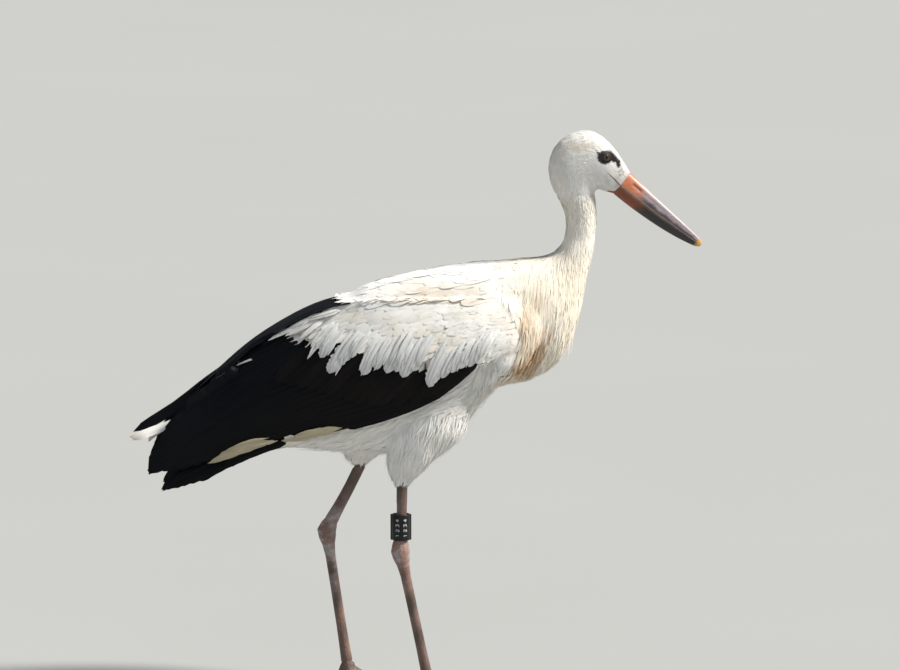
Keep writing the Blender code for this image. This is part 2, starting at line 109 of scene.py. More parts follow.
class Look:
    """A Principled material, with short ways to add procedural nodes to it."""

    def __init__(self, name, rough, **sockets):
        self.mat = bpy.data.materials.new(name)
        self.mat.use_nodes = True
        self.shader = self.mat.node_tree.nodes["Principled BSDF"]
        self.fill(self.shader, Roughness=rough, **sockets)

    def fill(self, node, **values):
        """Sets a node's sockets and properties; a value that is an output is linked in."""
        for key, value in values.items():
            socket = node.inputs.get(key.replace("_", " "))
            if socket is None:
                setattr(node, key, value)
            elif isinstance(value, bpy.types.NodeSocket):
                self.mat.node_tree.links.new(value, socket)
            else:
                socket.default_value = value
        return node

    def add(self, kind, **values):
        return self.fill(self.mat.node_tree.nodes.new("ShaderNode" + kind), **values)

    def place(self, stretch=(1, 1, 1), turn=(0, 0, 0)):
        """Object coordinates through a mapping."""
        coords = self.add("TexCoord").outputs["Object"]
        return self.add("Mapping", Vector=coords, Scale=stretch, Rotation=turn).outputs["Vector"]

    def noise(self, where, scale, detail=4.0, rough=0.55):
        return self.add("TexNoise", Vector=where, Scale=scale, Detail=detail, Roughness=rough).outputs["Fac"]

    def ramp(self, fac, *stops):
        """Colours, or greys given as one number, at places of 0 to 1."""
        node = self.add("ValToRGB", Fac=fac)
        while len(node.color_ramp.elements) < len(stops):
            node.color_ramp.elements.new(0.5)
        for element, (pos, colour) in zip(node.color_ramp.elements, stops):
            element.position = pos
            element.color = (*colour, 1.0) if isinstance(colour, tuple) else (colour, colour, colour, 1.0)
        return node.outputs["Color"]

    def coloured(self, colour):
        self.fill(self.shader, Base_Color=colour)

    def tinted(self, *shades):
        """Base colour from the piece's own tint, times each shade."""
        colour = self.add("VertexColor", layer_name="tint").outputs["Color"]
        for shade in shades:
            node = self.add("Mix", data_type="RGBA", blend_type="MULTIPLY", Factor=1.0)
            for socket, value in zip(node.inputs[6:8], (colour, shade)):
                self.mat.node_tree.links.new(value, socket)
            colour = node.outputs[2]
        self.coloured(colour)

    def bump(self, height, strength, distance, **under):
        normal = self.add("Bump", Height=height, Strength=strength, Distance=distance, **under).outputs["Normal"]
        self.fill(self.shader, Normal=normal)
        return normal


def feather_look(name, rough, barb, sheen, mottle, gloss):
    """Colour from the piece's own tint, with fine barbs running out from the shaft of each vane."""
    look = Look(name, rough, Sheen_Weight=sheen, Sheen_Roughness=0.5, Specular_IOR_Level=gloss)
    vane = look.add("UVMap", uv_map="vane").outputs["UV"]
    barbs = look.add("Mapping", Vector=vane, Scale=(560.0, 560.0, 1.0)).outputs["Vector"]
    wave = look.add("TexWave", wave_type="BANDS", bands_direction="Y", Vector=barbs, Scale=1.0, Distortion=2.2,
                    Detail=2.0, Detail_Scale=1.4)
    look.tinted(look.ramp(look.noise(look.place(), 42.0, 3.0), (0.3, 1 - mottle), (0.7, 1.0)))
    look.bump(wave.outputs["Fac"], barb, 0.0004)
    return look.mat


def noise_look(name, rough, mottle, low, high, bump=None, grain=None, stretch=(1, 1, 1), **sockets):
    """Mottled from low to high by a noise of (scale, detail): two colours, or two greys times the piece's own tint."""
    look = Look(name, rough, **sockets)
    where = look.place(stretch)
    spots = look.noise(where, *mottle)
    shade = look.ramp(spots, (0.3, low), (0.7, high))
    if isinstance(low, tuple):
        look.coloured(shade)
    else:
        look.tinted(shade)
    if bump:
        look.bump(look.noise(where, *grain) if grain else spots, *bump)
    return look.mat


# ---------------------------------------------------------------- meshes

def piece(name, mesh, mat, slot, *replaced):
    """A piece that rides on the body, in place of the nodes that it replaces; slot is not used."""
    ob = bpy.data.objects.new(name, mesh)
    bpy.context.scene.collection.objects.link(ob)
    mesh.materials.append(mat)
    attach(ob, "root")
    if replaced:
        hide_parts(*replaced)


def raw_mesh(name, points, quads, smooth=True):
    """A mesh from an (n, 3) array and an (m, 4) array of faces."""
    mesh = bpy.data.meshes.new(name)
    mesh.vertices.add(len(points))
    mesh.vertices.foreach_set("co", np.ascontiguousarray(points, np.float32).ravel())
    mesh.loops.add(quads.size)
    mesh.loops.foreach_set("vertex_index", np.ascontiguousarray(quads, np.int32).ravel())
    mesh.polygons.add(len(quads))
    mesh.polygons.foreach_set("loop_start", np.arange(0, quads.size, quads.shape[1], dtype=np.int32))
    mesh.polygons.foreach_set("use_smooth", np.full(len(quads), smooth))
    mesh.update(calc_edges=True)
    return mesh


def smoothed(mesh, points=None):
    """Shades a mesh smoothly, after moving its points if they are given."""
    if points is not None:
        mesh.vertices.foreach_set("co", points.astype(np.float32).ravel())
        mesh.update()
    mesh.polygons.foreach_set("use_smooth", np.ones(len(mesh.polygons), bool))
    return mesh


def ring_quads(index):
    """Faces between neighbouring rows of point numbers, each row a closed ring."""
    a, b = index[..., :-1, :], index[..., 1:, :]
    return np.stack([a, np.roll(a, -1, -1), np.roll(b, -1, -1), b], -1).reshape(-1, 4)


def loft_mesh(name, rings, closed=True):
    """Faces between rings of equal count; closed fills both ends."""
    rings = np.asarray(rings, float)
    index = np.arange(rings[..., 0].size).reshape(rings.shape[:2])
    faces = ring_quads(index).tolist()
    if closed:
        faces += [index[0][::-1].tolist(), index[-1].tolist()]
    mesh = bpy.data.meshes.new(name)
    mesh.from_pydata(rings.reshape(-1, 3).tolist(), [], faces)
    body = bmesh.new()
    body.from_mesh(mesh)
    bmesh.ops.recalc_face_normals(body, faces=body.faces)
    if closed and body.calc_volume(signed=True) < 0:
        bmesh.ops.reverse_faces(body, faces=body.faces)
    body.to_mesh(mesh)
    body.free()
    return smoothed(mesh)


def set_tint(mesh, colours):
    """Colours of the points, or one colour for them all."""
    colours = np.broadcast_to(colours, (len(mesh.vertices), 3))
    layer = mesh.color_attributes.new("tint", "FLOAT_COLOR", "POINT")
    layer.data.foreach_set("color", np.column_stack([colours, np.ones(len(colours))]).astype(np.float32).ravel())


def grown_copy(names, distance, extra=()):
    """One mesh of several CAD nodes, each grown a little so that their thin gaps close."""
    body = bmesh.new()
    for mesh in extra:
        body.from_mesh(mesh)
    for name in names:
        part = bmesh.new()
        part.from_mesh(NODES[name].data)
        bmesh.ops.remove_doubles(part, verts=part.verts, dist=1e-5)
        bmesh.ops.recalc_face_normals(part, faces=part.faces)
        part.normal_update()
        for v, move in [(v, v.normal * distance) for v in part.verts]:
            v.co += move
        mesh = bpy.data.meshes.new("part")
        part.to_mesh(mesh)
        part.free()
        body.from_mesh(mesh)
    joined = bpy.data.meshes.new("joined")
    body.to_mesh(joined)
    body.free()
    return joined


def remeshed(mesh, voxel, rounds):
    """The closed outer shape of a mesh in even faces, smoothed over `rounds` rounds."""
    ob = bpy.data.objects.new("work", mesh)
    bpy.context.scene.collection.objects.link(ob)
    step = ob.modifiers.new("remesh", "REMESH")
    step.mode = "VOXEL"
    step.voxel_size = voxel
    soft = ob.modifiers.new("smooth", "SMOOTH")
    soft.factor = 0.5
    soft.iterations = rounds
    made = bpy.data.meshes.new_from_object(ob.evaluated_get(bpy.context.evaluated_depsgraph_get()))
    bpy.data.objects.remove(ob)
    return made


def without(mesh, gone):
    """Deletes the points marked in `gone`."""
    body = bmesh.new()
    body.from_mesh(mesh)
    bmesh.ops.delete(body, geom=[v for v in body.verts if gone[v.index]], context="VERTS")
    body.to_mesh(mesh)
    body.free()
    return mesh


def read(items, key, wide, kind=float):
    """A property of every item, as rows."""
    values = np.empty(len(items) * wide, kind)
    items.foreach_get(key, values)
    return values.reshape(-1, wide)


def arrays_of(mesh):
    """(points, normals, triangles) of a mesh."""
    points, normals = read(mesh.vertices, "co", 3), read(mesh.vertex_normals, "vector", 3)
    mesh.calc_loop_triangles()
    return points, normals, read(mesh.loop_triangles, "vertices", 3, np.int32)


def tree_of(*parts):
    """One search tree of meshes, or of (points, triangles) pairs."""
    points, tris, base = [], [], 0
    for part in parts:
        p, t = part if isinstance(part, tuple) else arrays_of(part)[::2]
        points.append(p)
        tris.append(t + base)
        base += len(p)
    return BVHTree.FromPolygons([tuple(p) for p in np.vstack(points)], [tuple(t) for t in np.vstack(tris)])


# ---------------------------------------------------------------- the skin

HEAD, NECK_UPPER, NECK_LOWER, TRUNK, WING, THIGH = range(6)
REGIONS = {"head": HEAD, "neck_upper": NECK_UPPER, "neck_lower": NECK_LOWER, "trunk": TRUNK,
           "wing_right_coverts": WING, "wing_left_coverts": WING, "thigh_right": THIGH, "thigh_left": THIGH}
COAT_DEPTH = [1.4, 2.4, 4.5, 4.5, 3.2, 5.0]       # of each region
GROWN = 0.45 * MM                                 # how far the flesh solids grow before they are joined
SKIN_VOXEL = 2.6 * MM
FLESH_TREES = {name: tree_of(NODES[name].data) for name in REGIONS}


def regions_of(points):
    """Number of the body part nearest to each point."""
    best = np.full(len(points), 9.0)
    region = np.zeros(len(points), int)
    for name, tree in FLESH_TREES.items():
        far = np.array([tree.find_nearest(Vector(p), 0.05)[3] or 9.0 for p in points])
        closer = far < best
        best[closer] = far[closer]
        region[closer] = REGIONS[name]
    return region


def coat_depth(points, region):
    """How far the skin lies under the true outline, in metres."""
    depth = np.array(COAT_DEPTH)[region] * MM
    x, _, z = drawing(points)
    throat = (region > HEAD) & (region < WING) & (x > 150)
    depth = np.where(throat, (2.4 + 2.1 * ease(700, 625, z)) * MM, depth)
    depth = depth + 10 * MM * (region == THIGH) * ease(5, 40, x) * ease(405, 350, z)
    face = ease(0.262, 0.29, points[:, 0]) * (region == HEAD)
    return depth * (1 - 0.65 * face)


def fillets():
    """Soft wedges that carry the breast on to the folded wings, where the solids leave a notch."""
    made = []
    for sign in SIDES.values():
        rings = []
        for z, front, out, back in ((480, 160, 74, 132), (500, 176, 79, 130), (530, 188, 81, 128), (560, 192, 81, 126),
                                    (590, 186, 77, 124), (608, 170, 70, 122), (620, 158, 60, 124)):
            wide = out - 5
            outline = ((front, wide - 26), (front - 10, wide - 12), (front - 26, wide - 3), (front - 44, out - 1.5),
                       (back - 16, out - 2), (back - 10, wide - 26))
            rings.append(at(*[(x, sign * y, z) for x, y in outline]))
        made.append(loft_mesh("fillet", rings))
    return made


def build_skin():
    mesh = remeshed(grown_copy(REGIONS, GROWN, fillets()), SKIN_VOXEL, 6)
    points, normals, _ = arrays_of(mesh)
    depth = coat_depth(points, regions_of(points))
    return smoothed(mesh, points - normals * (depth + GROWN)[:, None])


# ---------------------------------------------------------------- markings and painted shade, in the drawing's millimetres

WHITE = np.array((0.83, 0.81, 0.77))
BRIGHT = np.array((0.88, 0.87, 0.84))
CREAM = np.array((0.80, 0.71, 0.57))
OCHRE = np.array((0.52, 0.37, 0.22))
BEIGE = np.array((0.70, 0.61, 0.50))
GREY = np.array((0.50, 0.49, 0.48))
# Painted shade: the tone of the white covert lobes and their wisps as they look in shade.
SHADED = np.array((0.655, 0.655, 0.645))
DARK = np.array((0.009, 0.008, 0.011))
BLACK = np.array((0.0021, 0.0027, 0.0040))
BROWN = np.array((0.0052, 0.0041, 0.0040))
# A rust tint darkened as painted shade, for the gap before the wing's front edge.
RUST_SHADE = np.array((0.42, 0.225, 0.075))
HORN_RED = np.array((0.30, 0.075, 0.022))
# Painted shade: cream plumes darkened to how they look in shade.
SHADED_CREAM = np.array((0.46, 0.40, 0.27))
EYE_X, EYE_Z = 283.2, 807.5
CHEEK = 7                      # the bare face and the socket lie further out than this


def wobble(points, size, seed):
    """Smooth random values of about -1 to 1 that vary over `size` metres."""
    r = rng(seed)
    total = np.zeros(len(points))
    for _ in range(9):
        k = unit(r.normal(size=3)) * 2 * math.pi / (size * r.uniform(0.7, 1.8))
        total += np.sin(points @ k + r.uniform(0, 7))
    return total / 3.0


def layered(colour, *coats):
    """Colours with coats of (tone, weight) laid over them in turn."""
    for tone, weight in coats:
        w = np.asarray(weight)[:, None]
        colour = colour * (1 - w) + np.asarray(tone) * w
    return colour


def capsule(x, z, a, b, ra, rb):
    """Distance outside a tapered stroke from a to b in the side view."""
    ax, az = a
    dx, dz = b[0] - ax, b[1] - az
    t = np.clip(((x - ax) * dx + (z - az) * dz) / (dx * dx + dz * dz), 0, 1)
    return np.hypot(x - ax - dx * t, z - az - dz * t) - (ra + (rb - ra) * t)


def outside(x, z, rows):
    """Distance outside a closed outline in the side view, negative within it."""
    far, within = np.full(x.shape, 1e9), np.zeros(x.shape, bool)
    for (ax, az), (bx, bz) in zip(rows, rows[1:] + rows[:1]):
        far = np.minimum(far, capsule(x, z, (ax, az), (bx, bz), 0, 0))
        if az != bz:
            within ^= ((az > z) != (bz > z)) & (x < ax + (z - az) / (bz - az) * (bx - ax))
    return np.where(within, -far, far)


# The bare black skin from behind the eye, over it and down before it; the bare red skin under the lower bill's root.
BARE_EYE = [(268, 819.4), (275, 815.8), (281, 816), (286, 817.4), (291, 817.2), (297, 811.8), (303, 804.6), (307, 799),
            (306.2, 793), (303.8, 789.5), (301.5, 793.5), (298, 799), (293, 801.2), (286, 799.6), (279, 800.6),
            (274, 805), (273.6, 811)]
BARE_CHIN = [(306.5, 760.5), (298, 756.6), (289, 757.4), (285, 757), (287, 748), (300, 748), (312, 756)]


def bare_face(points, inner=0.0):
    """1 on the bare dark skin round the eye and down to the bill, 0 elsewhere."""
    x, y, z = drawing(points)
    return ease(0.5, -0.5, outside(x, z, BARE_EYE) + 0.6 * wobble(points, 0.005, 9) + inner) * (np.abs(y) > CHEEK)


def bare_chin(points):
    x, _, z = drawing(points)
    return ease(0.5, -0.5, outside(x, z, BARE_CHIN) + 0.3 * wobble(points, 0.004, 8))


def markings_and_shade(points, region):
    """The bird's colours, with painted shade in a few places; each coat below is laid over the ones before it."""
    x, y, z = drawing(points)
    head, trunk, wing = region == HEAD, region == TRUNK, region == WING
    cheek, fore = np.abs(y) > 6, region < WING

    def stroke(soft, full, *row):
        return ease(soft, full, capsule(x, z, *row))

    def varied(size, seed, gain, base, low, high):
        return np.clip(wobble(points, size, seed) * gain + base, low, high)

    socket = ease(10.8, 9.8, np.hypot(x - EYE_X, z - EYE_Z)) * (np.abs(y) > CHEEK)
    # shoulder: a beige band just above the wing's top edge, painted shadow cast by the scapulars' lower ends.
    shoulder = trunk * ease(646, 606, z) ** 1.6 * ease(-70, 20, x) * ease(140, 90, x) * ease(570, 590, z)
    # streak and rust: ochre, then darker rust, down the gap before the wing's front edge; a warm tint with painted
    # shade.
    streak = stroke(26, 6, (182, 612), (158, 488), 4, 10) * fore
    rust_gap_shade = fore * stroke(15, 0, (194, 568), (168, 512), 3.5, 9)
    return layered(
        np.tile(WHITE, (len(points), 1)),
        (BRIGHT, trunk * ease(560, 620, z)),
        (CREAM, 0.75 * (ease(95, 175, x) * ease(705, 640, z) * fore * (region > HEAD))),
        (OCHRE, np.clip(0.55 * streak * (0.75 + 0.4 * wobble(points, 0.02, 3)), 0, 1)),
        (BEIGE, wing * varied(0.05, 11, 0.6, 0.1, 0, 0.5)),
        (GREY, wing * varied(0.03, 12, 0.5, -0.1, 0, 0.35)),
        (BLACK, wing * stroke(0.8, -0.8, (12, 474), (15, 509), 6, 1.2)),
        (BLACK, wing * stroke(0.8, -0.8, (-90, 486), (-85, 523), 8, 1.2)),
        (CREAM, 0.35 * (trunk * ease(-120, -230, x) * ease(460, 420, z))),
        (GREY, head * varied(0.012, 5, 0.2, 0.18, 0, 0.4) * ease(262, 285, x) * ease(800, 785, z)),
        # A beige line along the brow: painted shade where the lit crown turns to the shaded side.
        (BEIGE, 0.55 * (head * stroke(6, 1, (262, 824), (230, 828), 2.5, 1))),
        (GREY * 0.45, head * stroke(2.5, -1, (304, 794), (310, 781), 3.0, 4.5) * cheek
         * varied(0.0035, 6, 0.75, 0.25, 0, 0.85)),
        (GREY * 0.4, head * stroke(1.5, 0, (279, 801), (287, 798.5), 2.2, 1.6) * cheek
         * varied(0.004, 7, 0.6, 0.45, 0, 0.8)),
        (BEIGE, 0.25 * ((region < NECK_LOWER) * ease(236, 222, x))),
        (CREAM, 0.4 * ((region == NECK_UPPER) | (region == NECK_LOWER)) * ease(790, 735, z)),
        (HORN_RED, bare_chin(points) * head),
        (DARK, np.maximum(bare_face(points, 0.7), socket) * head),
        (BEIGE, np.clip(shoulder * (0.80 + 0.25 * wobble(points, 0.03, 14)), 0, 0.9)),
        (RUST_SHADE, np.clip(rust_gap_shade * (0.74 + 0.45 * wobble(points, 0.012, 15)), 0, 1)))


# ---------------------------------------------------------------- the lie of the coat

AXIS = curve_through(at((306, 0, 768), (264, 0, 802), (238, 0, 792), (240, 0, 735), (246, 0, 700), (236, 0, 650),
                        (205, 0, 595), (150, 0, 555), (60, 0, 515), (-60, 0, 492), (-190, 0, 440), (-320, 0, 370)), 90)
AXIS_RUN = unit(np.gradient(AXIS, axis=0))


def lie_of(points, normals, region):
    """Unit direction in which feathers point at each place."""
    x, _, z = drawing(points)
    near = np.argmin(((points[:, None, :] - AXIS[None]) ** 2).sum(-1), axis=1)
    droop = ease(600, 480, z)[:, None]
    along = unit(np.array((-0.93, 0, -0.36)) * (1 - droop) + np.array((-0.70, 0, -0.71)) * droop)
    run = layered(AXIS_RUN[near],
                  ((-0.16, 0, -0.98), ease(70, 160, x) * ease(712, 660, z) * (region < WING)),
                  (unit(np.array((-0.80, 0, -0.60))), (region == TRUNK) * ease(440, 390, z) * ease(90, 20, x)))
    run = np.where((region == WING)[:, None], along, run)
    splay = np.stack([0 * x, np.sign(points[:, 1]) * 0.05, 0 * x], 1)
    run = np.where((region == THIGH)[:, None], unit(np.array((-0.24, 0, -0.97))) + splay, run)
    return unit(run - normals * (run * normals).sum(-1, keepdims=True) * 0.97)


def march(points, up, region, lengths, stations, lift, cling, droop, stiff, turn):
    """Spines laid over the body. lift gives each station's height over it; cling under 1 lets the ends hang free."""

    def field(spots, up):
        way = lie_of(spots, up, region)
        return unit(way + np.cross(up, way) * turn[:, None])

    surface, way, spot = points, field(points, up), points + up * lift[:, :1]
    spines, ups = [spot], [up]
    step = (lengths / (stations - 1))[:, None]
    for k in range(1, stations):
        way = unit(way * stiff + field(surface, up) * (1 - stiff) + np.array((0, 0, -1.0)) * droop)
        way = unit(way - up * (way * up).sum(-1, keepdims=True) * cling * 0.9)
        trial = spot + way * step
        found = [BODY.find_nearest(Vector(p)) for p in trial]
        surface, fresh = (np.array([f[i] for f in found]) for i in (0, 1))
        height = ((trial - surface) * fresh).sum(-1, keepdims=True)
        lowest = lift[:, k:k + 1]
        held = surface + fresh * lowest
        spot = np.where(height >= lowest, trial, held) * (1 - cling) + held * cling
        up = unit(up * 0.35 + fresh * 0.65)
        spines.append(spot)
        ups.append(up)
    return np.stack(spines, 1), np.stack(ups, 1)


# ---------------------------------------------------------------- feathers as meshes

SHAPES = {"leaf": (0.30, 0.72, 0.96, 1.0, 0.82, 0.20), "round": (0.35, 0.78, 1.0, 1.0, 0.80, 0.30),
          "plume": (0.45, 1.0, 0.95, 0.74, 0.46, 0.05), "strand": (0.5, 1.0, 0.8, 0.5, 0.06),
          "tiny": (0.6, 1.0, 0.75, 0.12)}
PATCH = 0.003                                     # side of a feather's root patch in the map OFBake
UNDERSIDE = 0.00008                               # how far a small vane's underside hangs below its spine
# Across a large feather: place from the shaft as a share of the vane, height as a share of the half width.
QUILL_ACROSS = np.array([-1.0, -0.82, -0.40, -0.055, 0.0, 0.055, 0.40, 0.82, 1.0, 0.45, -0.45])
QUILL_HEIGHT = np.array([0.0, 0.07, 0.15, 0.16, 0.21, 0.16, 0.15, 0.07, 0.0, 0.03, 0.03])
QUILL_TOPS = 9                                    # the points after these are on the underside


def axes_of(spines, ups):
    """Directions across and over each feather at each station."""
    along = unit(np.gradient(spines, axis=1))
    across = unit(np.cross(along, ups))
    return across, unit(np.cross(across, along))


def feathers(name, ring, spines, side, share, lie, keen, capped, tints, roots_uv, mat, slot):
    """One joined mesh of feathers, from the points round each station of each.

    side is their distance from the shaft, share the same as 0 to 1, lie the scale and slant of the map called vane,
    keen the numbers of the points that make sharp edges.
    """
    n, s, k, _ = ring.shape
    index = np.arange(n * s * k).reshape(n, s, k)
    quads = ring_quads(index)
    if capped:
        quads = np.concatenate([quads, index[:, 0, ::-1], index[:, -1]])
    quads = quads[:, ::-1]
    mesh = raw_mesh(name, ring.reshape(-1, 3), quads)
    edges = read(mesh.edges, "vertices", 2, np.int32)
    kind, level = (edges % k).T, (edges // k % s).T
    sharp = (kind[0] == kind[1]) & np.isin(kind[0], keen)
    if capped:
        sharp |= (level[0] == level[1]) & np.isin(level[0], (0, s - 1))
    mesh.attributes.new("sharp_edge", "BOOLEAN", "EDGE").data.foreach_set("value", sharp)
    set_tint(mesh, np.repeat(tints.reshape(-1, 3), k, axis=0))
    vane = np.stack([side, run_along(spines)[..., None] * lie[0] - np.abs(side) * lie[1]], -1)
    spread = np.stack(np.broadcast_arrays(share, np.linspace(0, 1, s)[:, None]), -1)
    patch = roots_uv[:, None, None] + (spread - 0.5) * PATCH
    for layer, values in (("OFBake", patch), ("vane", vane)):
        uv = mesh.uv_layers.new(name=layer)
        uv.data.foreach_set("uv", values.reshape(-1, 2)[quads.reshape(-1)].astype(np.float32).ravel())
    piece(name, mesh, mat, slot)


def vanes(name, spines, ups, half, shape, tints, roots_uv, camber, seed, tilt):
    """Small feathers as thin closed vanes. half holds half widths, tilt the roll of each."""
    n, s, _ = spines.shape
    across, over = axes_of(spines, ups)
    lean = tilt[:, None, None]
    across, over = across * np.cos(lean) + over * np.sin(lean), over * np.cos(lean) - across * np.sin(lean)
    profile = np.interp(np.linspace(0, 1, s), np.linspace(0, 1, len(SHAPES[shape])), SHAPES[shape])
    width = half[:, None] * profile * (1 + 0.05 * rng(seed).normal(size=(n, s)))
    width = np.maximum(width, 0.00006)[..., None]
    ring = np.stack([spines - across * width, spines + over * (width * camber + 0.00010), spines + across * width,
                     spines - over * UNDERSIDE], axis=2)
    feathers(name, ring, spines, width * (-1, 0, 1, 0), (0.0, 0.5, 1.0, 0.5), (0.6, 1.7), (0, 2), True, tints,
             roots_uv, COAT, "white_plumage")


def quills(name, spines, ups, half, tints, profile, mat, camber=0.9, ragged=0.03):
    """Large feathers: a raised shaft with a vane either side. half is (n,), profile (stations, 2)."""
    n, s, _ = spines.shape
    across, over = (v[:, :, None] for v in axes_of(spines, ups))
    width = profile * half[:, None, None] * (1 + ragged * rng(3).normal(size=(n, s, 2)))
    width = np.where(QUILL_ACROSS < 0, width[..., :1], width[..., 1:])
    side = QUILL_ACROSS * width
    rise = QUILL_HEIGHT * np.minimum(width, half[:, None, None]) * camber + 0.0001
    rise[..., QUILL_TOPS:] -= 0.0004
    ring = spines[:, :, None] + across * side[..., None] + over * rise[..., None]
    feathers(name, ring, spines, side, QUILL_ACROSS / 2 + 0.5, (1.0, 1.2), (0, 8), False, tints, uv_at(spines[:, 0]),
             mat, "flight_feathers" if mat is FLIGHT else "white_plumage")


def unwrap(mesh):
    """Gives the skin its own map."""
    ob = bpy.data.objects.new("unwrap", mesh)
    bpy.context.scene.collection.objects.link(ob)
    bpy.context.view_layer.objects.active = ob
    ob.select_set(True)
    bpy.ops.object.mode_set(mode="EDIT")
    bpy.ops.mesh.select_all(action="SELECT")
    bpy.ops.uv.smart_project(angle_limit=math.radians(66), island_margin=0.004)
    bpy.ops.object.mode_set(mode="OBJECT")
    mesh = ob.data
    mesh.uv_layers[0].name = "OFBake"
    bpy.data.objects.remove(ob)
    return mesh


def uv_finder(mesh, tree):
    """A function that gives the map's place at points near the skin."""
    mesh.calc_loop_triangles()
    loops = read(mesh.loop_triangles, "loops", 3, np.int32)
    uv = read(mesh.uv_layers["OFBake"].data, "uv", 2)

    def find(points):
        index = np.array([tree.find_nearest(Vector(p))[2] for p in points])
        return np.clip(uv[loops[index]].mean(axis=1), 0.002, 0.998)
    return find


def scattered(points, tris, radius_of, seed, tries):
    """Places spread over the triangles, no two nearer than their radius. Returns places and triangle numbers."""
    r = rng(seed)
    a, b, c = (points[tris[:, k]] for k in range(3))
    area = np.linalg.norm(np.cross(b - a, c - a), axis=1)
    pick = r.choice(len(tris), tries, p=area / area.sum())
    u, v = r.random(tries), r.random(tries)
    flip = u + v > 1
    u[flip], v[flip] = 1 - u[flip], 1 - v[flip]
    places = a[pick] + (b[pick] - a[pick]) * u[:, None] + (c[pick] - a[pick]) * v[:, None]
    radius = radius_of(places)
    kd = KDTree(len(places))
    for i, p in enumerate(places):
        kd.insert(p, i)
    kd.balance()
    gone, kept = np.zeros(len(places), bool), []
    for i in range(len(places)):
        if not gone[i]:
            kept.append(i)
            for _, j, _ in kd.find_range(places[i], radius[i]):
                gone[j] = True
    return places[kept], pick[kept]


# ---------------------------------------------------------------- the skin in place, and what feathers lie on

GROUND = noise_look("plumage_ground", 0.85, (60.0, 4.0), 0.9, 1.0, (0.5, 0.0012), (420.0, 5.0),
                    Sheen_Weight=0.04, Specular_IOR_Level=0.2)
COAT = feather_look("white_feather", 0.78, 0.14, 0.25, 0.06, 0.3)
FLIGHT = feather_look("black_feather", 0.42, 0.30, 0.0, 0.25, 0.09)

skin_mesh = unwrap(build_skin())
S_POINTS, S_NORMALS, S_TRIS = arrays_of(skin_mesh)
SKIN = tree_of((S_POINTS, S_TRIS))
uv_at = uv_finder(skin_mesh, SKIN)
S_REGION = regions_of(S_POINTS)
S_CENTRES = S_POINTS[S_TRIS].mean(axis=1)
S_TRI_REGION = S_REGION[S_TRIS[:, 0]]
S_TRI_NORMAL = unit(S_NORMALS[S_TRIS].mean(axis=1))
set_tint(skin_mesh, markings_and_shade(S_POINTS, S_REGION))
piece("skin", skin_mesh, GROUND, "white_plumage", *REGIONS)


def inset(mesh, depth):
    """Draws a closed mesh in, by at most two fifths of its own thickness."""
    points, normals, _ = arrays_of(mesh)
    tree = tree_of(mesh)
    hits = [tree.ray_cast(Vector(p - n * 0.0002), Vector(-n), 0.08)[3] for p, n in zip(points, normals)]
    thick = np.array([0.08 if far is None else far for far in hits])
    return smoothed(mesh, points - normals * np.minimum(depth, thick * 0.4)[:, None])


def cores():
    """Dark cores under the flight feathers and a pale one under the tail; with the trees of the dark ones."""
    made, trees = {}, {}
    for word in SIDES:
        blades = f"wing_{word}_secondaries"
        mesh = remeshed(grown_copy([blades, f"wing_{word}_coverts"], 0.4 * MM), 3.0 * MM, 3)
        tree = tree_of(NODES[blades].data)
        under = np.array([tree.find_nearest(v.co)[3] for v in mesh.vertices])
        mesh = inset(mesh, 3.2 * MM + np.minimum(under * 0.6, 5.5 * MM))
        trees[word] = tree_of(mesh)
        tip = inset(remeshed(grown_copy([f"wing_{word}_primaries"], 0.1 * MM), 2.0 * MM, 2), 1.6 * MM)
        x, _, z = drawing(arrays_of(tip)[0])
        made[word] = without(mesh, under > 14 * MM)
        made[word + "_tip"] = without(tip, x + 0.4 * (z - 380) > -200)
        trees[word + "_tip"] = tree_of(tip)
        for part, core, node in (("blade", mesh, "secondaries"), ("tip", tip, "primaries")):
            set_tint(core, BLACK * 0.8)
            core.uv_layers.new(name="vane")
            piece(f"wing_{word}_{part}_core", core, FLIGHT, "flight_feathers", f"wing_{word}_{node}")
    tail = inset(remeshed(grown_copy(["tail"], 0.1 * MM), 1.6 * MM, 2), 1.3 * MM)
    ends = arrays_of(tail)[0]
    blunt = SHIFT[0] - 380 * MM                    # behind this the tail's core is drawn in, so that feathers end it
    ends[:, 0] = np.where(ends[:, 0] < blunt, (ends[:, 0] - blunt) * 0.45 + blunt, ends[:, 0])
    made["tail"] = smoothed(tail, ends)
    set_tint(tail, WHITE * 0.9)
    piece("tail_core", tail, GROUND, "white_plumage", "tail")
    return made, trees


CORES, CORE_TREES = cores()
BODY = tree_of((S_POINTS, S_TRIS), *CORES.values())          # everything a feather can lie on
WINGS = {word: tree_of(NODES[f"wing_{word}_coverts"].data, NODES[f"wing_{word}_secondaries"].data) for word in SIDES}


# ---------------------------------------------------------------- the white coat

def fade(base, *terms):
    """A measure that varies: each term (more, axis, a, b) adds `more` as x or z goes from a to b."""
    def value(x, z):
        total = base
        for more, axis, a, b in terms:
            total = total + more * ease(a, b, x if axis == "x" else z)
        return total
    return value


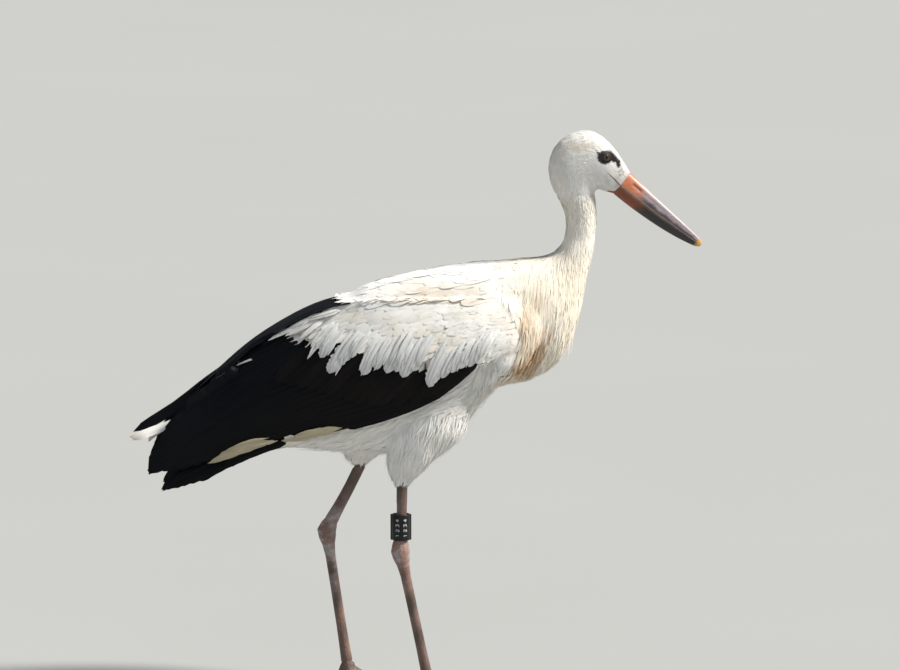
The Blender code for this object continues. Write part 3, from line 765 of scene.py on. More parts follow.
def grow(name, spread, gap, length, half, shape, stations, height, seed, cling=1.0, droop=0.0, stiff=0.35,
         turn=0.10, tint_at=0.0, camber=0.10, jitter=0.04, calm=0.6, tilt=0.07, paint=None):
    """Feathers over the skin's triangles marked in `spread`; gap, length, half and height in millimetres."""
    chosen, normals, region = S_TRIS[spread], S_TRI_NORMAL[spread], S_TRI_REGION[spread]
    thin = 1.0

    def measure(value, spots):
        x, _, z = drawing(spots)
        return (value(x, z) if callable(value) else np.full(len(spots), float(value))) * MM

    def gaps(spots):
        return measure(gap, spots) * thin

    a, b, c = (S_POINTS[chosen[:, k]] for k in range(3))
    area = np.linalg.norm(np.cross(b - a, c - a), axis=1).sum() / 2
    least = gaps(a).min()
    places, pick = scattered(S_POINTS, chosen, gaps, seed, int(min(260000, 9 * area / (least * least))))
    up, region = normals[pick], region[pick]
    r, n = rng(seed + 500), len(places)
    lengths = measure(length, places) * r.uniform(0.82, 1.15, n)
    halves = measure(half, places) * r.uniform(0.85, 1.12, n) * (thin ** 0.7)
    top = measure(height, places) * (1 + (1 - calm) * r.uniform(-0.5, 0.3, n))
    lift = 0.1 * MM + top[:, None] * np.linspace(0, 1, stations) ** 0.85
    spines, ups = march(places, up, region, lengths, stations, lift, cling, droop, stiff, turn * r.normal(size=n))
    step = unit(np.diff(spines, axis=1))
    whole = ((step[:, 1:] * step[:, :-1]).sum(-1) > 0.72).all(1)         # crumpled ones are left out
    mark = spines[:, int(round(tint_at * (stations - 1)))] if tint_at else places
    tone = markings_and_shade(mark, region) if paint is None else np.tile(paint, (n, 1))
    tone = tone * (1 + jitter * r.normal(size=(n, 1))) * (1 + 0.35 * jitter * r.normal(size=(n, 3)) * (1, 0, -1))
    tints = np.repeat(np.clip(tone, 0, 0.92)[:, None], stations, axis=1)
    uv = uv_at(places)
    for side, mask in (("_right", whole & (places[:, 1] < 0)), ("_left", whole & (places[:, 1] >= 0))):
        if mask.any():
            vanes(name + side, spines[mask], ups[mask], halves[mask], shape, tints[mask], uv[mask], camber,
                  seed + 9, tilt * r.normal(size=mask.sum()))


# How low the rounded coverts of the wing reach, as x and z.
COVERTS_END = [(-170, 566), (-140, 548), (-110, 540), (-60, 537), (-20, 530), (20, 526), (60, 526), (80, 525),
               (100, 522), (140, 508)]


def white_coat():
    x, _, z = drawing(S_CENTRES)
    part, nor = S_TRI_REGION, S_TRI_NORMAL
    head, trunk, wing, thigh = part == HEAD, part == TRUNK, part == WING, part == THIGH
    neck = (part == NECK_UPPER) | (part == NECK_LOWER)
    ahead, up, outward = nor[:, 0], nor[:, 2], nor[:, 1] * np.sign(S_CENTRES[:, 1])
    plume = {"jitter": 0.03, "calm": 0.2}

    grow("face", head & (x > 255) & (x < 319) & (bare_face(S_CENTRES) < 0.5) & (bare_chin(S_CENTRES) < 0.4),
         fade(1.05, (0.35, "x", 285, 255)), fade(3.4, (2.8, "x", 290, 255)), fade(0.40, (0.22, "x", 290, 255)),
         "tiny", 4, fade(0.28, (0.4, "x", 295, 255)), 21, turn=0.14)
    grow("lores", head & (x > 262) & (bare_face(S_CENTRES, -0.6) > 0.5) & (np.hypot(x - EYE_X, z - EYE_Z) > 7.2),
         0.95, 2.3, 0.30, "tiny", 4, 0.22, 34, turn=0.16, paint=DARK)
    grow("crown", head & (x <= 256.5), 1.45, fade(7.0, (3.5, "z", 800, 765)), 0.62, "tiny", 4, 0.7, 22, turn=0.12,
         camber=0.08)
    grow("neck", neck & ~((x > 225) & (z < 660 + 16 * wobble(S_CENTRES, 0.02, 40))),
         2.0, fade(12.0, (9, "z", 750, 670)), fade(0.80, (0.45, "z", 740, 670)), "strand", 5,
         fade(0.6, (0.8, "z", 690, 745)), 23, turn=0.14, camber=0.08)
    grow("mantle", trunk & (z > 560) & (x < 175) & (x > -255) & (up > -0.2),
         fade(4.6, (1.6, "x", 120, -60)), fade(28, (18, "x", 140, -80)), fade(3.6, (2.4, "x", 120, -60)), "leaf", 6,
         1.2, 24, turn=0.07, jitter=0.02, camber=0.05, tilt=0.01, calm=0.9)
    grow("breast", (part > HEAD) & (part < WING) & (x >= 130) & (z < 690) & (z > 440)
         & ~(trunk & (z > 560) & (x < 168) & (up > 0.1)),
         fade(2.75, (0.5, "z", 600, 520)), fade(26, (36, "z", 680, 590), (-8, "z", 560, 470)),
         fade(1.35, (0.65, "z", 670, 600)), "plume", 7, fade(1.5, (1.0, "z", 660, 600)), 25, cling=0.85, droop=0.05,
         turn=0.13, camber=0.12, tilt=0.04)
    grow("beard", trunk & (x >= 140) & (z < 580) & (z > 462) & (ahead > -0.35),
         5.6, fade(38, (-10, "z", 520, 480)), 1.4, "plume", 8, 3.2, 35, cling=0.30, droop=0.25, stiff=0.6,
         jitter=0.05, calm=0.2, camber=0.2)
    grow("skirt", trunk & (x > 62) & (x < 152) & (z < 492) & (up < -0.15),
         4.4, 34, 1.4, "plume", 7, 3.0, 38, cling=0.5, droop=0.08, stiff=0.5, turn=0.14, camber=0.2, **plume)
    grow("loose", trunk & (x > 205) & (z < 610) & (z > 545) & (ahead > 0.4),
         13.0, 44, 0.8, "plume", 9, 6.0, 37, cling=0.0, droop=0.55, stiff=0.7, turn=0.12, calm=0.2, camber=0.25)
    grow("side", trunk & (x < 135) & (x > -150) & (z <= 575) & (z > 340) & (up <= 0.75),
         3.8, 34, 2.1, "plume", 6, 2.0, 26, cling=0.85, turn=0.15, jitter=0.03, camber=0.12)
    grow("vent", trunk & (x <= -145) & (z < 575) & (up < 0.6),
         4.4, 36, 2.4, "plume", 6, 2.6, 27, cling=0.9, turn=0.12, jitter=0.03, camber=0.2)
    grow("rump", trunk & (x <= -150) & (up >= 0.2), 6.0, 40, 6.0, "leaf", 6, 2.8, 28, turn=0.08)
    grow("thighs", thigh, fade(2.5, (0.8, "z", 340, 420)), fade(17, (17, "z", 325, 390)),
         fade(0.95, (0.65, "z", 330, 400)), "strand", 5, fade(1.6, (1.4, "z", 320, 370)), 29, cling=0.8, turn=0.18,
         jitter=0.035, calm=0.4, camber=0.22)
    grow("fluff", (thigh | (trunk & (up < -0.3) & (x < 140) & (x > -150))) & (z < 480) & (z > 318),
         fade(6.5, (1.5, "z", 340, 400)), fade(20, (18, "z", 325, 400)), 0.85, "strand", 6,
         fade(3.2, (3.0, "z", 325, 390)), 36, cling=0.30, droop=0.10, turn=0.35, camber=0.25, **plume)
    grow("lesser", wing & (x > -170) & (outward > 0.25) & (up < 0.55) & (z > np.interp(x, *zip(*COVERTS_END))),
         fade(4.4, (1.6, "x", 90, 0)), fade(22, (12, "x", 110, 0)), fade(3.2, (1.8, "x", 110, -10)), "round", 6,
         lambda x, z: 1.1 + (1.7 * ease(588, 552, z) + 1.5 * ease(552, 534, z)) * ease(105, 60, x), 30,
         turn=0.12, tint_at=0.5, camber=0.07, tilt=0.03, calm=0.8, jitter=0.025)
    grow("rim", wing & (x > -95) & (up >= 0.5),
         3.0, 26, 2.2, "plume", 6, 1.0, 32, turn=0.04, camber=0.08, calm=0.9, jitter=0.02, tilt=0.0)
    grow("wing_front", wing & (x > 95) & (up < 0.5) & (outward <= 0.3),
         3.4, 24, 2.2, "plume", 6, 1.8, 33, turn=0.08, camber=0.16, calm=0.8, jitter=0.03)
    grow("hind_coverts", wing & (x <= -95) & (outward > 0.1) & ((x <= -165) | (up >= 0.5)),
         4.6, 36, 3.0, "plume", 7, 1.8, 31, turn=0.06, tint_at=0.6, camber=0.12, calm=0.8, tilt=0.02)


white_coat()


# ---------------------------------------------------------------- flight feathers

REACH = 0.006      # how far past the edge of a surface a feather drawn over it can hang


def outer(word, flat, tree, tilt=0.0, level=0.0):
    """Points of the outer surface, with normals, for places on a plane seen from the side, or from `tilt` above."""
    sign = SIDES[word]
    view = Vector((0, sign * math.cos(tilt), math.sin(tilt)))
    down = Vector((0, sign * math.sin(tilt), -math.cos(tilt)))
    points, ups = [], []
    for x, u in flat:
        base = Vector((x, 0, level)) - down * (u - level if tilt == 0.0 else -u)
        spot, up = tree.ray_cast(base + view * 0.25, -view, 0.25)[:2]
        if spot is None:
            near = tree.find_nearest(base + view * 0.075)[0]
            near = tree.find_nearest(base + view * (near - base).dot(view))[0]
            beyond = base - near
            beyond -= view * beyond.dot(view)
            if beyond.length > REACH:
                beyond *= REACH / beyond.length
            spot, up = near + beyond, view
        points.append(spot)
        ups.append(up if up.dot(view) > 0 else -up)
    points, ups = np.array(points), unit(np.array(ups))
    out = np.array(view)
    for _ in range(4):
        high = points @ out
        high[1:-1] = (high[:-2] + high[2:] + 2 * high[1:-1]) / 4
        points += ((high - points @ out)[:, None]) * out
        ups[1:-1] = unit(ups[:-2] + ups[2:] + 2 * ups[1:-1])
    return points, ups


def drawn_feathers(word, rows, count, tree, lifts, stations, seed, spread, lift_run=0.5, tilt=0.0, level=0.0,
                   sink=0.0, wander=0.0):
    """Spines on a wing's outer face. Each row: share, root x z, tip x z, bend, half width. sink lowers the root."""
    r, rows = rng(seed), np.array(rows, float)
    spines, ups, halves = [], [], []
    for share in np.linspace(0, 1, count):
        x0, z0, x1, z1, bend, half = (np.interp(share, rows[:, 0], rows[:, k]) for k in range(1, 7))
        jig = spread * r.normal(size=2)
        stray = np.array((0, wander * r.normal() if wander else 0))
        a, b = np.array((x0, z0)) + stray, np.array((x1 + jig[0], z1 + 0.4 * jig[1])) + stray
        t = np.linspace(0, 1, stations)[:, None]
        side = np.array((-(b - a)[1], (b - a)[0]))
        side = side / np.linalg.norm(side)
        side = side * np.sign(side[1])
        flat = (a + (b - a) * t + side * bend * 4 * t * (1 - t)) * MM + (SHIFT[0], 0)
        points, up = outer(word, flat, tree, tilt, level * MM)
        lift = lifts[0] + (lifts[1] - lifts[0]) * share + lift_run * t[:, 0] - sink * (1 - t[:, 0]) ** 3.2
        spines.append(points + up * (lift * MM)[:, None])
        ups.append(up)
        halves.append(half * MM)
    return np.array(spines), np.array(ups), np.array(halves)


def vane_profile(stations, tip, base, narrow, point=1.0):
    """Widths along a feather: (upper, lower) shares of its half width."""
    t = np.linspace(0, 1, stations)
    body = base + (1 - base) * ease(0, 0.22, t)
    end = np.sqrt(np.clip(1 - ((t - (1 - tip)) / tip).clip(0, 1) ** (2 * point), 0, 1))
    wide = body * np.maximum(end, 0.02)
    return np.stack([wide * narrow, wide], 1)


def black_tints(n, stations, base, seed, vary, brown):
    r = rng(seed)
    tone = base[None] * (1 + vary * r.uniform(-1, 1, (n, 1)))
    tone = tone + (BROWN - BLACK)[None] * (brown * r.random((n, 1)))
    return np.repeat(np.clip(tone, 0.002, 1)[:, None], stations, axis=1)


# Key feathers of each row: share of the row, root x z, tip x z, bend, half width.
SECONDARIES = [(0.00, -205, 546, -288, 478, 2, 9), (0.15, -185, 540, -338, 436, 6, 12),
               (0.30, -165, 526, -374, 390, 12, 13), (0.45, -140, 508, -398, 337, 20, 13),
               (0.55, -115, 494, -386, 338, 18, 13), (0.70, -75, 478, -318, 356, 14, 12),
               (0.85, -10, 464, -236, 390, 7, 10), (0.93, 30, 464, -176, 402, -1, 9),
               (1.00, 64, 480, -110, 412, -8, 9)]
GREATER = [(0.0, -128, 538, -205, 476, 3, 11), (0.3, -75, 534, -160, 464, 3, 11), (0.6, -20, 524, -100, 448, 3, 11),
           (0.85, 35, 514, -38, 442, 0, 9), (1.0, 78, 518, 16, 454, -3, 7)]
PRIMARY = [(0.0, -192, 398, -384, 308, 6, 8), (0.35, -192, 396, -366, 311, 6, 8), (0.7, -190, 392, -330, 323, 5, 8),
           (1.0, -186, 387, -285, 345, 3, 7)]
# Long shoulder feathers, as places down the flank instead of z.
SCAPULARS = [[(0, 122, -42 + 12 * k, 84, -30 + 13 * k, 1.5, 6), (0.5, 30, -38 + 10.5 * k, -22, -30 + 11.5 * k, 1.5, 7),
              (1, -66, -31 + 7 * k, -121, -29 + 9 * k, 1.5, 7)] for k in range(5)]

# Single feathers: root x z, tip x z, bend, half width.
WEDGE = [(98, 521, 26, 459, -4, 5), (96, 517, 4, 448, -7, 6), (94, 513, -30, 440, -9, 6), (96, 514, 46, 474, -4, 4)]
# PALE: cream plumes over the primaries, darkened as painted shade.
PALE = [(-212, 389, -309, 352, 3, 6.5), (-224, 387, -292, 366, 3, 5), (-118, 406, -200, 385, 1, 4.5),
        (-110, 410, -182, 396, 2, 3.5), (-206, 388, -262, 368, 1, 3)]
# Rounded white coverts whose ends lap over the black, then pointed white ones behind them.
LOBES = [(67, 534, 39, 486, 2, 8), (81, 541, 53, 494, 2, 8), (94, 546, 66, 500, 2, 8), (106, 550, 78, 504, 2, 8),
         (116, 554, 90, 513, 2, 7), (54, 545, 20, 473, 2, 11), (26, 552, -4, 496, 2, 8), (14, 548, -19.5, 487, 2, 11),
         (0, 552, -31, 495, 2, 8), (-12, 550, -44, 493, 2, 10), (-28, 552, -60, 498, 2, 8),
         (-48, 548, -78, 490.5, 2, 10), (-68, 556, -98, 516, 2, 8), (-78, 554, -112, 505, 2, 9),
         (-90, 548, -129, 492.5, 2, 11), (-108, 562, -141, 516, 2, 9), (-118, 570, -148, 529, 2, 8)]
STREAKS = [(-124, 562, -160.5, 513, 1, 3.5), (-126, 568, -155, 531, 1, 5), (-136, 574, -170, 543, 1, 4.5),
           (-142, 578, -181, 551, 1, 4.5), (-148, 576, -193.5, 547, 1, 4.5), (-154, 575, -209, 545, 0, 4),
           (-162, 571, -220, 541, 0, 3.5), (-130, 584, -186, 560, 1, 5), (-112, 588, -160, 572, 1, 5),
           (-238, 517, -268, 503, 0, 1.8)]
# White feathers that hang from the wing's front corner over the flank.
DRAPES = [(150, 530, 124, 470, 2, 6), (140, 526, 111, 463, 2, 6), (129, 522, 98, 457, 2, 6), (118, 518, 86, 452, 2, 6),
          (108, 511, 76, 452, 2, 5), (116, 524, 96, 480, 1, 5), (134, 532, 112, 482, 1, 6)]
CAMERA_RISE = math.radians(8)                     # how far above level the photograph was taken


def wisps(rows, each, seed, width):
    """Narrow loose feathers strewn over each row's feather, all of them a little short or askew."""
    r, made = rng(seed), []
    for x0, z0, x1, z1, bend, half in rows:
        root, reach = np.array((x0, z0)), np.array((x1 - x0, z1 - z0))
        across = np.array((z1 - z0, x0 - x1)) / math.hypot(x1 - x0, z1 - z0)
        for k in range(each):
            side = (2 * (k + 0.5) / each - 1) * half * 0.85
            start, end = r.uniform(-0.15, 0.30), r.uniform(0.78, 1.04) - 0.10 * (side / half) ** 2
            a = root + start * reach + across * side * r.uniform(0.5, 1.2)
            b = root + end * reach + across * side * r.uniform(0.6, 1.1)
            made.append((*a, *b, bend + r.normal(), width * r.uniform(0.7, 1.2)))
    return made


def seen(rows):
    """Rows drawn in the photo's view, as places down from level 0 in that view."""
    return [(x0, 12.2 - 0.99 * z0, x1, 12.2 - 0.99 * z1, -bend, half) for x0, z0, x1, z1, bend, half in rows]


def tertials(word):
    """Black feathers that bridge the hollow between the folded wings, from the shoulders back over the rump.

    Returns the surface on which they lie, as points and triangles."""
    count, s, sign = 9, 24, SIDES[word]
    rail = np.array([(154, 560, 74), (142, 597, 67), (96, 605, 70), (36, 604, 70), (-24, 603, 65), (-84, 600, 53),
                     (-166, 571, 32), (-249, 520, 16), (-312, 458, 22), (-362, 417, 34), (-387, 388, 37)], float)[::-1]
    spines, ups, r = [], [], rng(75)
    for i in range(count):
        k = i / (count - 1)
        long = sign > 0 and i >= count - 2
        x = np.linspace(-88 - 8 * k, -426 + 8 * (count - 1 - i) if long else -300 - 42 * k + 6 * r.normal(), s)
        y = sign * (2 + k * (np.interp(x, rail[:, 0], rail[:, 2]) - 3)) * (1 + 0.04 * r.normal())
        raised = 0.4 + 0.6 * k if sign > 0 else 0.4 * (1 - k)
        z = np.interp(x, rail[:, 0], rail[:, 1]) + 9 * np.clip((-60 - x) / 220, 0, 1) * raised
        if long:
            z = np.where(x < -330, np.interp(x, [-426, -395, -362, -330], [385, 402, 421, 445]), z)
            y = np.where(x < -330, y + (27 - y) * ease(-330, -370, x), y)
        z = z + 2.2 + 1.8 * (1 - k) - 9.0 * ease(-110, -84, x)
        for _ in range(5):
            z[1:-1] = (z[:-2] + z[2:] + 2 * z[1:-1]) / 4
        spines.append(at(*np.stack([x, y, z], 1)))
        roll = sign * 0.15 * k - long * 1.6 * ease(-280, -350, x)
        ups.append(unit(np.stack([-np.gradient(z, x), roll + 0 * x, 1 + 0 * x], 1)))
    spines = np.array(spines)
    quills(f"tertials_{word}", spines, np.array(ups), np.full(count, 9.5 * MM),
           black_tints(count, s, BLACK * 1.3, 76, 0.2, 0.8), vane_profile(s, 0.12, 0.5, 1.0), FLIGHT, 0.6)
    grid = spines[:, :14] + (0, 0, 0.0016)
    index = np.arange(count * 14).reshape(-1, 14)
    a, b, c, d = (corner.ravel() for corner in (index[:-1, :-1], index[1:, :-1], index[1:, 1:], index[:-1, 1:]))
    return grid.reshape(-1, 3), np.concatenate([np.stack([a, b, c], 1), np.stack([a, c, d], 1)])


def joined(rows):
    """Spines, ups and half widths of several rows in one."""
    return (np.concatenate([row[k] for row in rows]) for k in range(3))


def scapulars(word, roof):
    rows = []
    for i, table in enumerate(reversed(SCAPULARS)):
        spines, ups, half = drawn_feathers(word, table, 24, roof, (1.4 + 0.22 * i, 0.9 + 0.22 * i), 14, 80 + i, 6.5,
                                           lift_run=0.9, tilt=math.radians(45), level=560, sink=1.4, wander=3.5)
        rows.append((spines, ups, half * rng(90 + i).uniform(0.85, 1.15, len(half))))
    spines, ups, half = joined(rows)
    tone = markings_and_shade(spines.reshape(-1, 3), np.full(spines.size // 3, TRUNK)).reshape(spines.shape)
    tone = tone * (1 + 0.015 * rng(5).normal(size=(len(spines), 1, 1)))
    quills(f"scapulars_{word}", spines, ups, half, np.clip(tone, 0, 0.9), vane_profile(14, 0.5, 0.6, 1.0, 1.2), COAT,
           0.20)


def black_rows(word):
    blade, tip = CORE_TREES[word], CORE_TREES[word + "_tip"]
    order = np.linspace(0, 1, 24)[:, None]
    base = BLACK * (1.2 - 0.3 * order) + (BROWN - BLACK) * (0.7 * ease(0.5, 0.9, order))
    for name, tints, rows, tree, lifts, seed, spread, run, sink, profile, camber in (
            ("primaries", black_tints(8, 22, BLACK, 41, 0.35, 0.3), PRIMARY, tip, (1.2, 0.2), 6, 2.0, 0.5, 0.0,
             (0.10, 0.25, 0.8, 0.9), 0.7),
            ("secondaries", black_tints(24, 26, BLACK * 0, 42, 0.2, 0.1) * 0.3 + base[:, None], SECONDARIES, blade,
             (3.0, 0.3), 7, 3.0, 0.5, 0.0, (0.09, 0.2, 0.85), 0.7),
            ("greater", black_tints(15, 16, BROWN, 43, 0.3, 0.2), GREATER, blade, (3.6, 2.4), 8, 2.5, 0.8, 3.0,
             (0.22, 0.25, 0.9), 0.6)):
        count, stations, _ = tints.shape
        spines, ups, half = drawn_feathers(word, rows, count, tree, lifts, stations, seed, spread, run, sink=sink)
        quills(f"{name}_{word}", spines, ups, half, tints, vane_profile(stations, *profile), FLIGHT, camber)


def single_feathers(word):
    """Each row: name, feathers, what they lie on, tip's share, height, its rise to the tip, root's sink, tone."""
    blade, wing = CORE_TREES[word], WINGS[word]
    streaks = STREAKS if word == "right" else STREAKS[:-1]
    for name, rows, tree, tip, top, run, sink, tone in (
            ("wedge", WEDGE, blade, 0.3, 1.2, 0.8, 1.2, BROWN), ("pale", PALE, blade, 0.6, 4.2, 0.6, 2.0, SHADED_CREAM),
            ("drapes", DRAPES, BODY, 0.6, 1.2, 1.6, 2.2, WHITE),
            ("drape_wisps", wisps(DRAPES, 6, 104, 1.8), BODY, 0.7, 1.8, 1.8, 2.6, WHITE),
            ("pale_wisps", wisps(PALE, 4, 103, 1.8), blade, 0.7, 4.6, 0.6, 2.0, SHADED_CREAM * 1.15),
            # The lobes and their wisps carry painted shade.
            ("lobes", LOBES, wing, 0.34, 0.4, 2.6, 4.4, SHADED),
            ("wisps", wisps(LOBES, 7, 101, 2.3), wing, 0.6, 1.2, 2.4, 5.0, SHADED),
            ("streaks", streaks, wing, 0.75, 1.6, 1.8, 3.0, WHITE),
            ("streak_wisps", wisps(STREAKS[:-1], 2, 102, 1.6), wing, 0.75, 2.2, 1.8, 2.0, WHITE)):
        drawn, dark, lobes = tree is wing, name == "wedge", name == "lobes"
        steps = 24 if lobes else 14
        spines, ups, half = joined([
            drawn_feathers(word, [(0, *row), (1, *row)], 1, tree, (top + 0.2 * (i % 3),) * 2, steps, 60 + i, 0.8, run,
                           tilt=CAMERA_RISE if drawn else 0.0, sink=sink)
            for i, row in enumerate(seen(rows) if drawn else rows)])
        colour = np.tile(tone * 0.98, (len(spines), 1)) * (1 + 0.03 * rng(4).normal(size=(len(spines), 1)))
        if name == "streaks":
            colour[9:] *= 0.5
        tints = np.clip(colour[:, None] * (1 - 0.22 * np.linspace(0, 1, steps)[:, None] ** 2), 0, 0.9)
        quills(f"{name}_{word}", spines, ups, half, tints, vane_profile(steps, tip, 0.45 if lobes else 0.08, 1.0),
               FLIGHT if dark else COAT, 0.4, 0.03 if dark else 0.10)


def flight():
    roof = tree_of((S_POINTS, S_TRIS), *[part for word in SIDES for part in (tertials(word), CORES[word])])
    for word in SIDES:
        scapulars(word, roof)
        black_rows(word)
        single_feathers(word)


def tail_feathers():
    spines, ups, tints, s = [], [], [], 20
    t = np.linspace(0, 1, s)
    for k in sorted(np.arange(-5.5, 6), key=lambda v: -abs(v)):
        x = -225 - (206 - 1.2 * abs(k)) * t
        z = np.interp(-x, [215, 262, 310, 355, 395, 418, 430], [457, 442, 426, 410, 395.5, 386.5, 381.5])
        y = k * (2.6 + 1.1 * t)
        z = z - 5.0 * (y / 26) ** 2 + 2.4 - 0.62 * abs(k) * (1 - 0.55 * t)
        spines.append(at(*np.stack([x, y, z], 1)))
        lean = np.arctan(-10 * y / 676)
        ups.append(np.stack([0.30 + 0 * x, np.sin(-lean), np.cos(lean)], 1))
        tip = ease(0.90, 1.0, t)[:, None]
        edge = (abs(k) > 4) * 0.5
        tints.append(WHITE * 0.95 * (1 - 0.7 * tip) + np.array((0.30, 0.20, 0.11)) * 0.7 * tip
                     - edge * 0.3 * tip * WHITE)
    quills("tail_feathers", np.array(spines), unit(np.array(ups)), np.full(len(spines), 9.5 * MM),
           np.clip(tints, 0.02, 1), vane_profile(s, 0.07, 0.6, 1.0), COAT)


flight()
tail_feathers()


# ---------------------------------------------------------------- bill, eyes and face

BILL_DROP = math.radians(37.8)
ALONG = np.array([math.cos(BILL_DROP), 0.0, -math.sin(BILL_DROP)])
ACROSS = np.array([math.sin(BILL_DROP), 0.0, math.cos(BILL_DROP)])
BILL_FOOT = at((308.5, 0, 767))[0] + ALONG * 0.8 * MM
BILL_LONG = 150 * MM
# Share of the bill's length; heights of culmen, cutting edge and gonys; half width.
BILL_ROWS = np.array([(0, 19.8, -3.8, -20.2, 12.6), (0.12, 18.0, -4.0, -20.6, 11.4), (0.3, 15.4, -4.0, -20.2, 9.4),
                      (0.5, 12.6, -3.6, -18.6, 7.6), (0.7, 9.8, -2.8, -15.4, 5.8), (0.86, 7.2, -1.9, -11.2, 4.2),
                      (0.96, 5.0, -1.0, -7.4, 2.9), (1.0, 3.2, -0.5, -5.0, 1.9)])
ROUNDING = 0.955                                  # share of the length from which the tip rounds off
EYE_R = (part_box("eye_left")[1].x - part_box("eye_left")[0].x) / 2


def bill_row(u):
    return hermite(BILL_ROWS[:, 0], BILL_ROWS[:, 1:], u)


def horn_look():
    look = Look("bill_horn", 0.42, Coat_Weight=0.1, Coat_Roughness=0.3)
    streak = look.noise(look.place((30, 260, 260), (0, BILL_DROP, 0)), 1.0, 5.0, 0.6)
    look.tinted(look.ramp(streak, (0.25, (0.70, 0.68, 0.68)), (0.6, 1.0), (0.8, 1.12)))
    look.bump(streak, 0.35, 0.0006)
    return look.mat


def bill():
    look = horn_look()
    us = np.concatenate([(-0.045, -0.03, -0.015), np.linspace(0, 0.94, 100),
                         0.94 + 0.06 * np.sin(np.linspace(0, 1, 14)[1:] * math.pi / 2)])
    u, a = us[:, None], np.linspace(0, math.pi, 31)
    for name, upper in (("upper", True), ("lower", False)):
        culmen, edge, gonys, half = (bill_row(np.maximum(us, 0)) * (1 + 2.2 * np.minimum(u, 0))).T[..., None]
        full = np.where(u > ROUNDING, np.sqrt(np.maximum(1 - ((u - ROUNDING) / 0.045) ** 2, 0.02)), 1.0)
        rise, y = np.sin(a) ** 0.85, half * np.cos(a) * full
        if upper:
            c = edge + (culmen - edge) * rise * full
            level = (c - edge) / (culmen - edge)
            y = y * (1 - 0.16 * (np.abs(np.cos(a)) ** 1.2) * np.sin(a) * 2)
            slot = np.exp(-(level - 0.60) ** 2 / 0.006) * ease(0.07, 0.10, u) * ease(0.205, 0.165, u)
            groove = np.exp(-(level - 0.58) ** 2 / 0.010) * ease(0.15, 0.2, u) * ease(0.62, 0.4, u)
            y = y - np.copysign(1.7 * slot + 0.5 * groove, y) * (np.abs(y) > 2)
        else:
            c = edge - 0.8 + (gonys - edge + 0.8) * rise * full
            y = y * 0.94
        rings = BILL_FOOT + ALONG * (u * BILL_LONG)[..., None] + ACROSS * (c * MM)[..., None]
        rings[..., 1] += y * MM
        flat = [rings[:, -1:] * (1 - k) + rings[:, :1] * k for k in (0.25, 0.5, 0.75)]
        rings = np.concatenate([rings, *flat], 1)
        mesh = loft_mesh(f"bill_{name}", rings)
        spots = rings.reshape(-1, 3)
        v, c = (spots - BILL_FOOT) @ ALONG / BILL_LONG, (spots - BILL_FOOT) @ ACROSS / MM
        culmen, edge, gonys, half = bill_row(np.clip(np.repeat(us, rings.shape[1]), 0, 1)).T
        k, n = np.clip((c - edge) / (culmen - edge), 0, 1), wobble(spots, 0.012, 71 + upper)
        if upper:
            coats = [((0.27, 0.22, 0.245), ease(0.10, 0.34, v + 0.03 * n)),
                     ((0.035, 0.030, 0.036), 0.93 * (ease(0.16, 0.34, v) * ease(0.52, 0.22, k + 0.05 * n))),
                     # paler along the top ridge: a painted reflection
                     ((0.50, 0.42, 0.40), 0.65 * (ease(0.72, 0.95, k) * ease(0.02, 0.2, v))),
                     ((0.10, 0.04, 0.03), 0.8 * (np.exp(-((k - 0.60) / 0.075) ** 2) * ease(0.065, 0.09, v)
                                                 * ease(0.22, 0.17, v))),
                     ((0.62, 0.46, 0.36), 0.8 * ease(0.085, 0.03, k) * ease(0.97, 0.9, v))]
        else:
            deep = np.clip((edge - c) / (edge - gonys), 0, 1)
            coats = [((0.020, 0.017, 0.018), ease(0.24, 0.36, v + 0.02 * n + 0.05 * deep)),
                     ((0.10, 0.035, 0.015), 0.5 * ease(0.7, 1.0, deep) * ease(0.3, 0.1, v)),
                     ((0.60, 0.42, 0.30), 0.75 * ease(0.10, 0.04, deep) * ease(0.97, 0.9, v))]
        base = (0.50, 0.16, 0.075) if upper else (0.21, 0.048, 0.009)
        tip = ((0.66, 0.34, 0.05), ease(0.925, 0.965, v + 0.008 * n))
        set_tint(mesh, np.clip(layered(np.tile(base, (len(spots), 1)), *coats, tip), 0.004, 1))
        piece(f"bill_{name}_horn", mesh, look, f"{name}_bill", f"bill_{name}")


def eyes():
    look = noise_look("eye", 0.10, (900.0, 3.0), 0.75, 1.1, Coat_Weight=0.6, Coat_Roughness=0.02,
                      Specular_IOR_Level=0.2)
    for word, sign in SIDES.items():
        out = unit(np.array((0.34, sign * 0.92, 0.19)))
        centre = middle(f"eye_{word}") - out * 1.8 * MM
        fore = unit(np.cross(out, (0, 0, 1.0)))
        fore = fore * np.sign(fore[0])
        up = np.cross(fore, out)
        up = up * np.sign(up[2])

        r, step = EYE_R * 0.985, np.arange(48)[:, None]
        b, t = np.linspace(0.02, math.pi * 0.62, 46)[:, None, None], step * math.pi / 24
        rings = (centre + out * (r * np.cos(b) + 0.55 * MM * np.exp(-((b / 0.55) ** 4)))
                 + (fore * np.cos(t) + up * np.sin(t)) * r * np.sin(b))
        wide = r * np.sin(b) / MM
        iris = np.array((0.062, 0.025, 0.012)) * (0.75 + 0.5 * ease(2.4, 3.6, wide)) * ease(5.3, 4.6, wide)
        colour = iris * ease(2.15, 2.45, wide) + np.array((0.003, 0.003, 0.004))
        mesh = loft_mesh(f"eye_{word}_ball", rings)
        set_tint(mesh, (colour * (1 + 0.12 * np.sin(step * 9.0) * np.sin(step * 4.1))).reshape(-1, 3))
        piece(f"eye_{word}_ball", mesh, look, "iris", f"eye_{word}")
        lids(word, centre, out, fore, up)


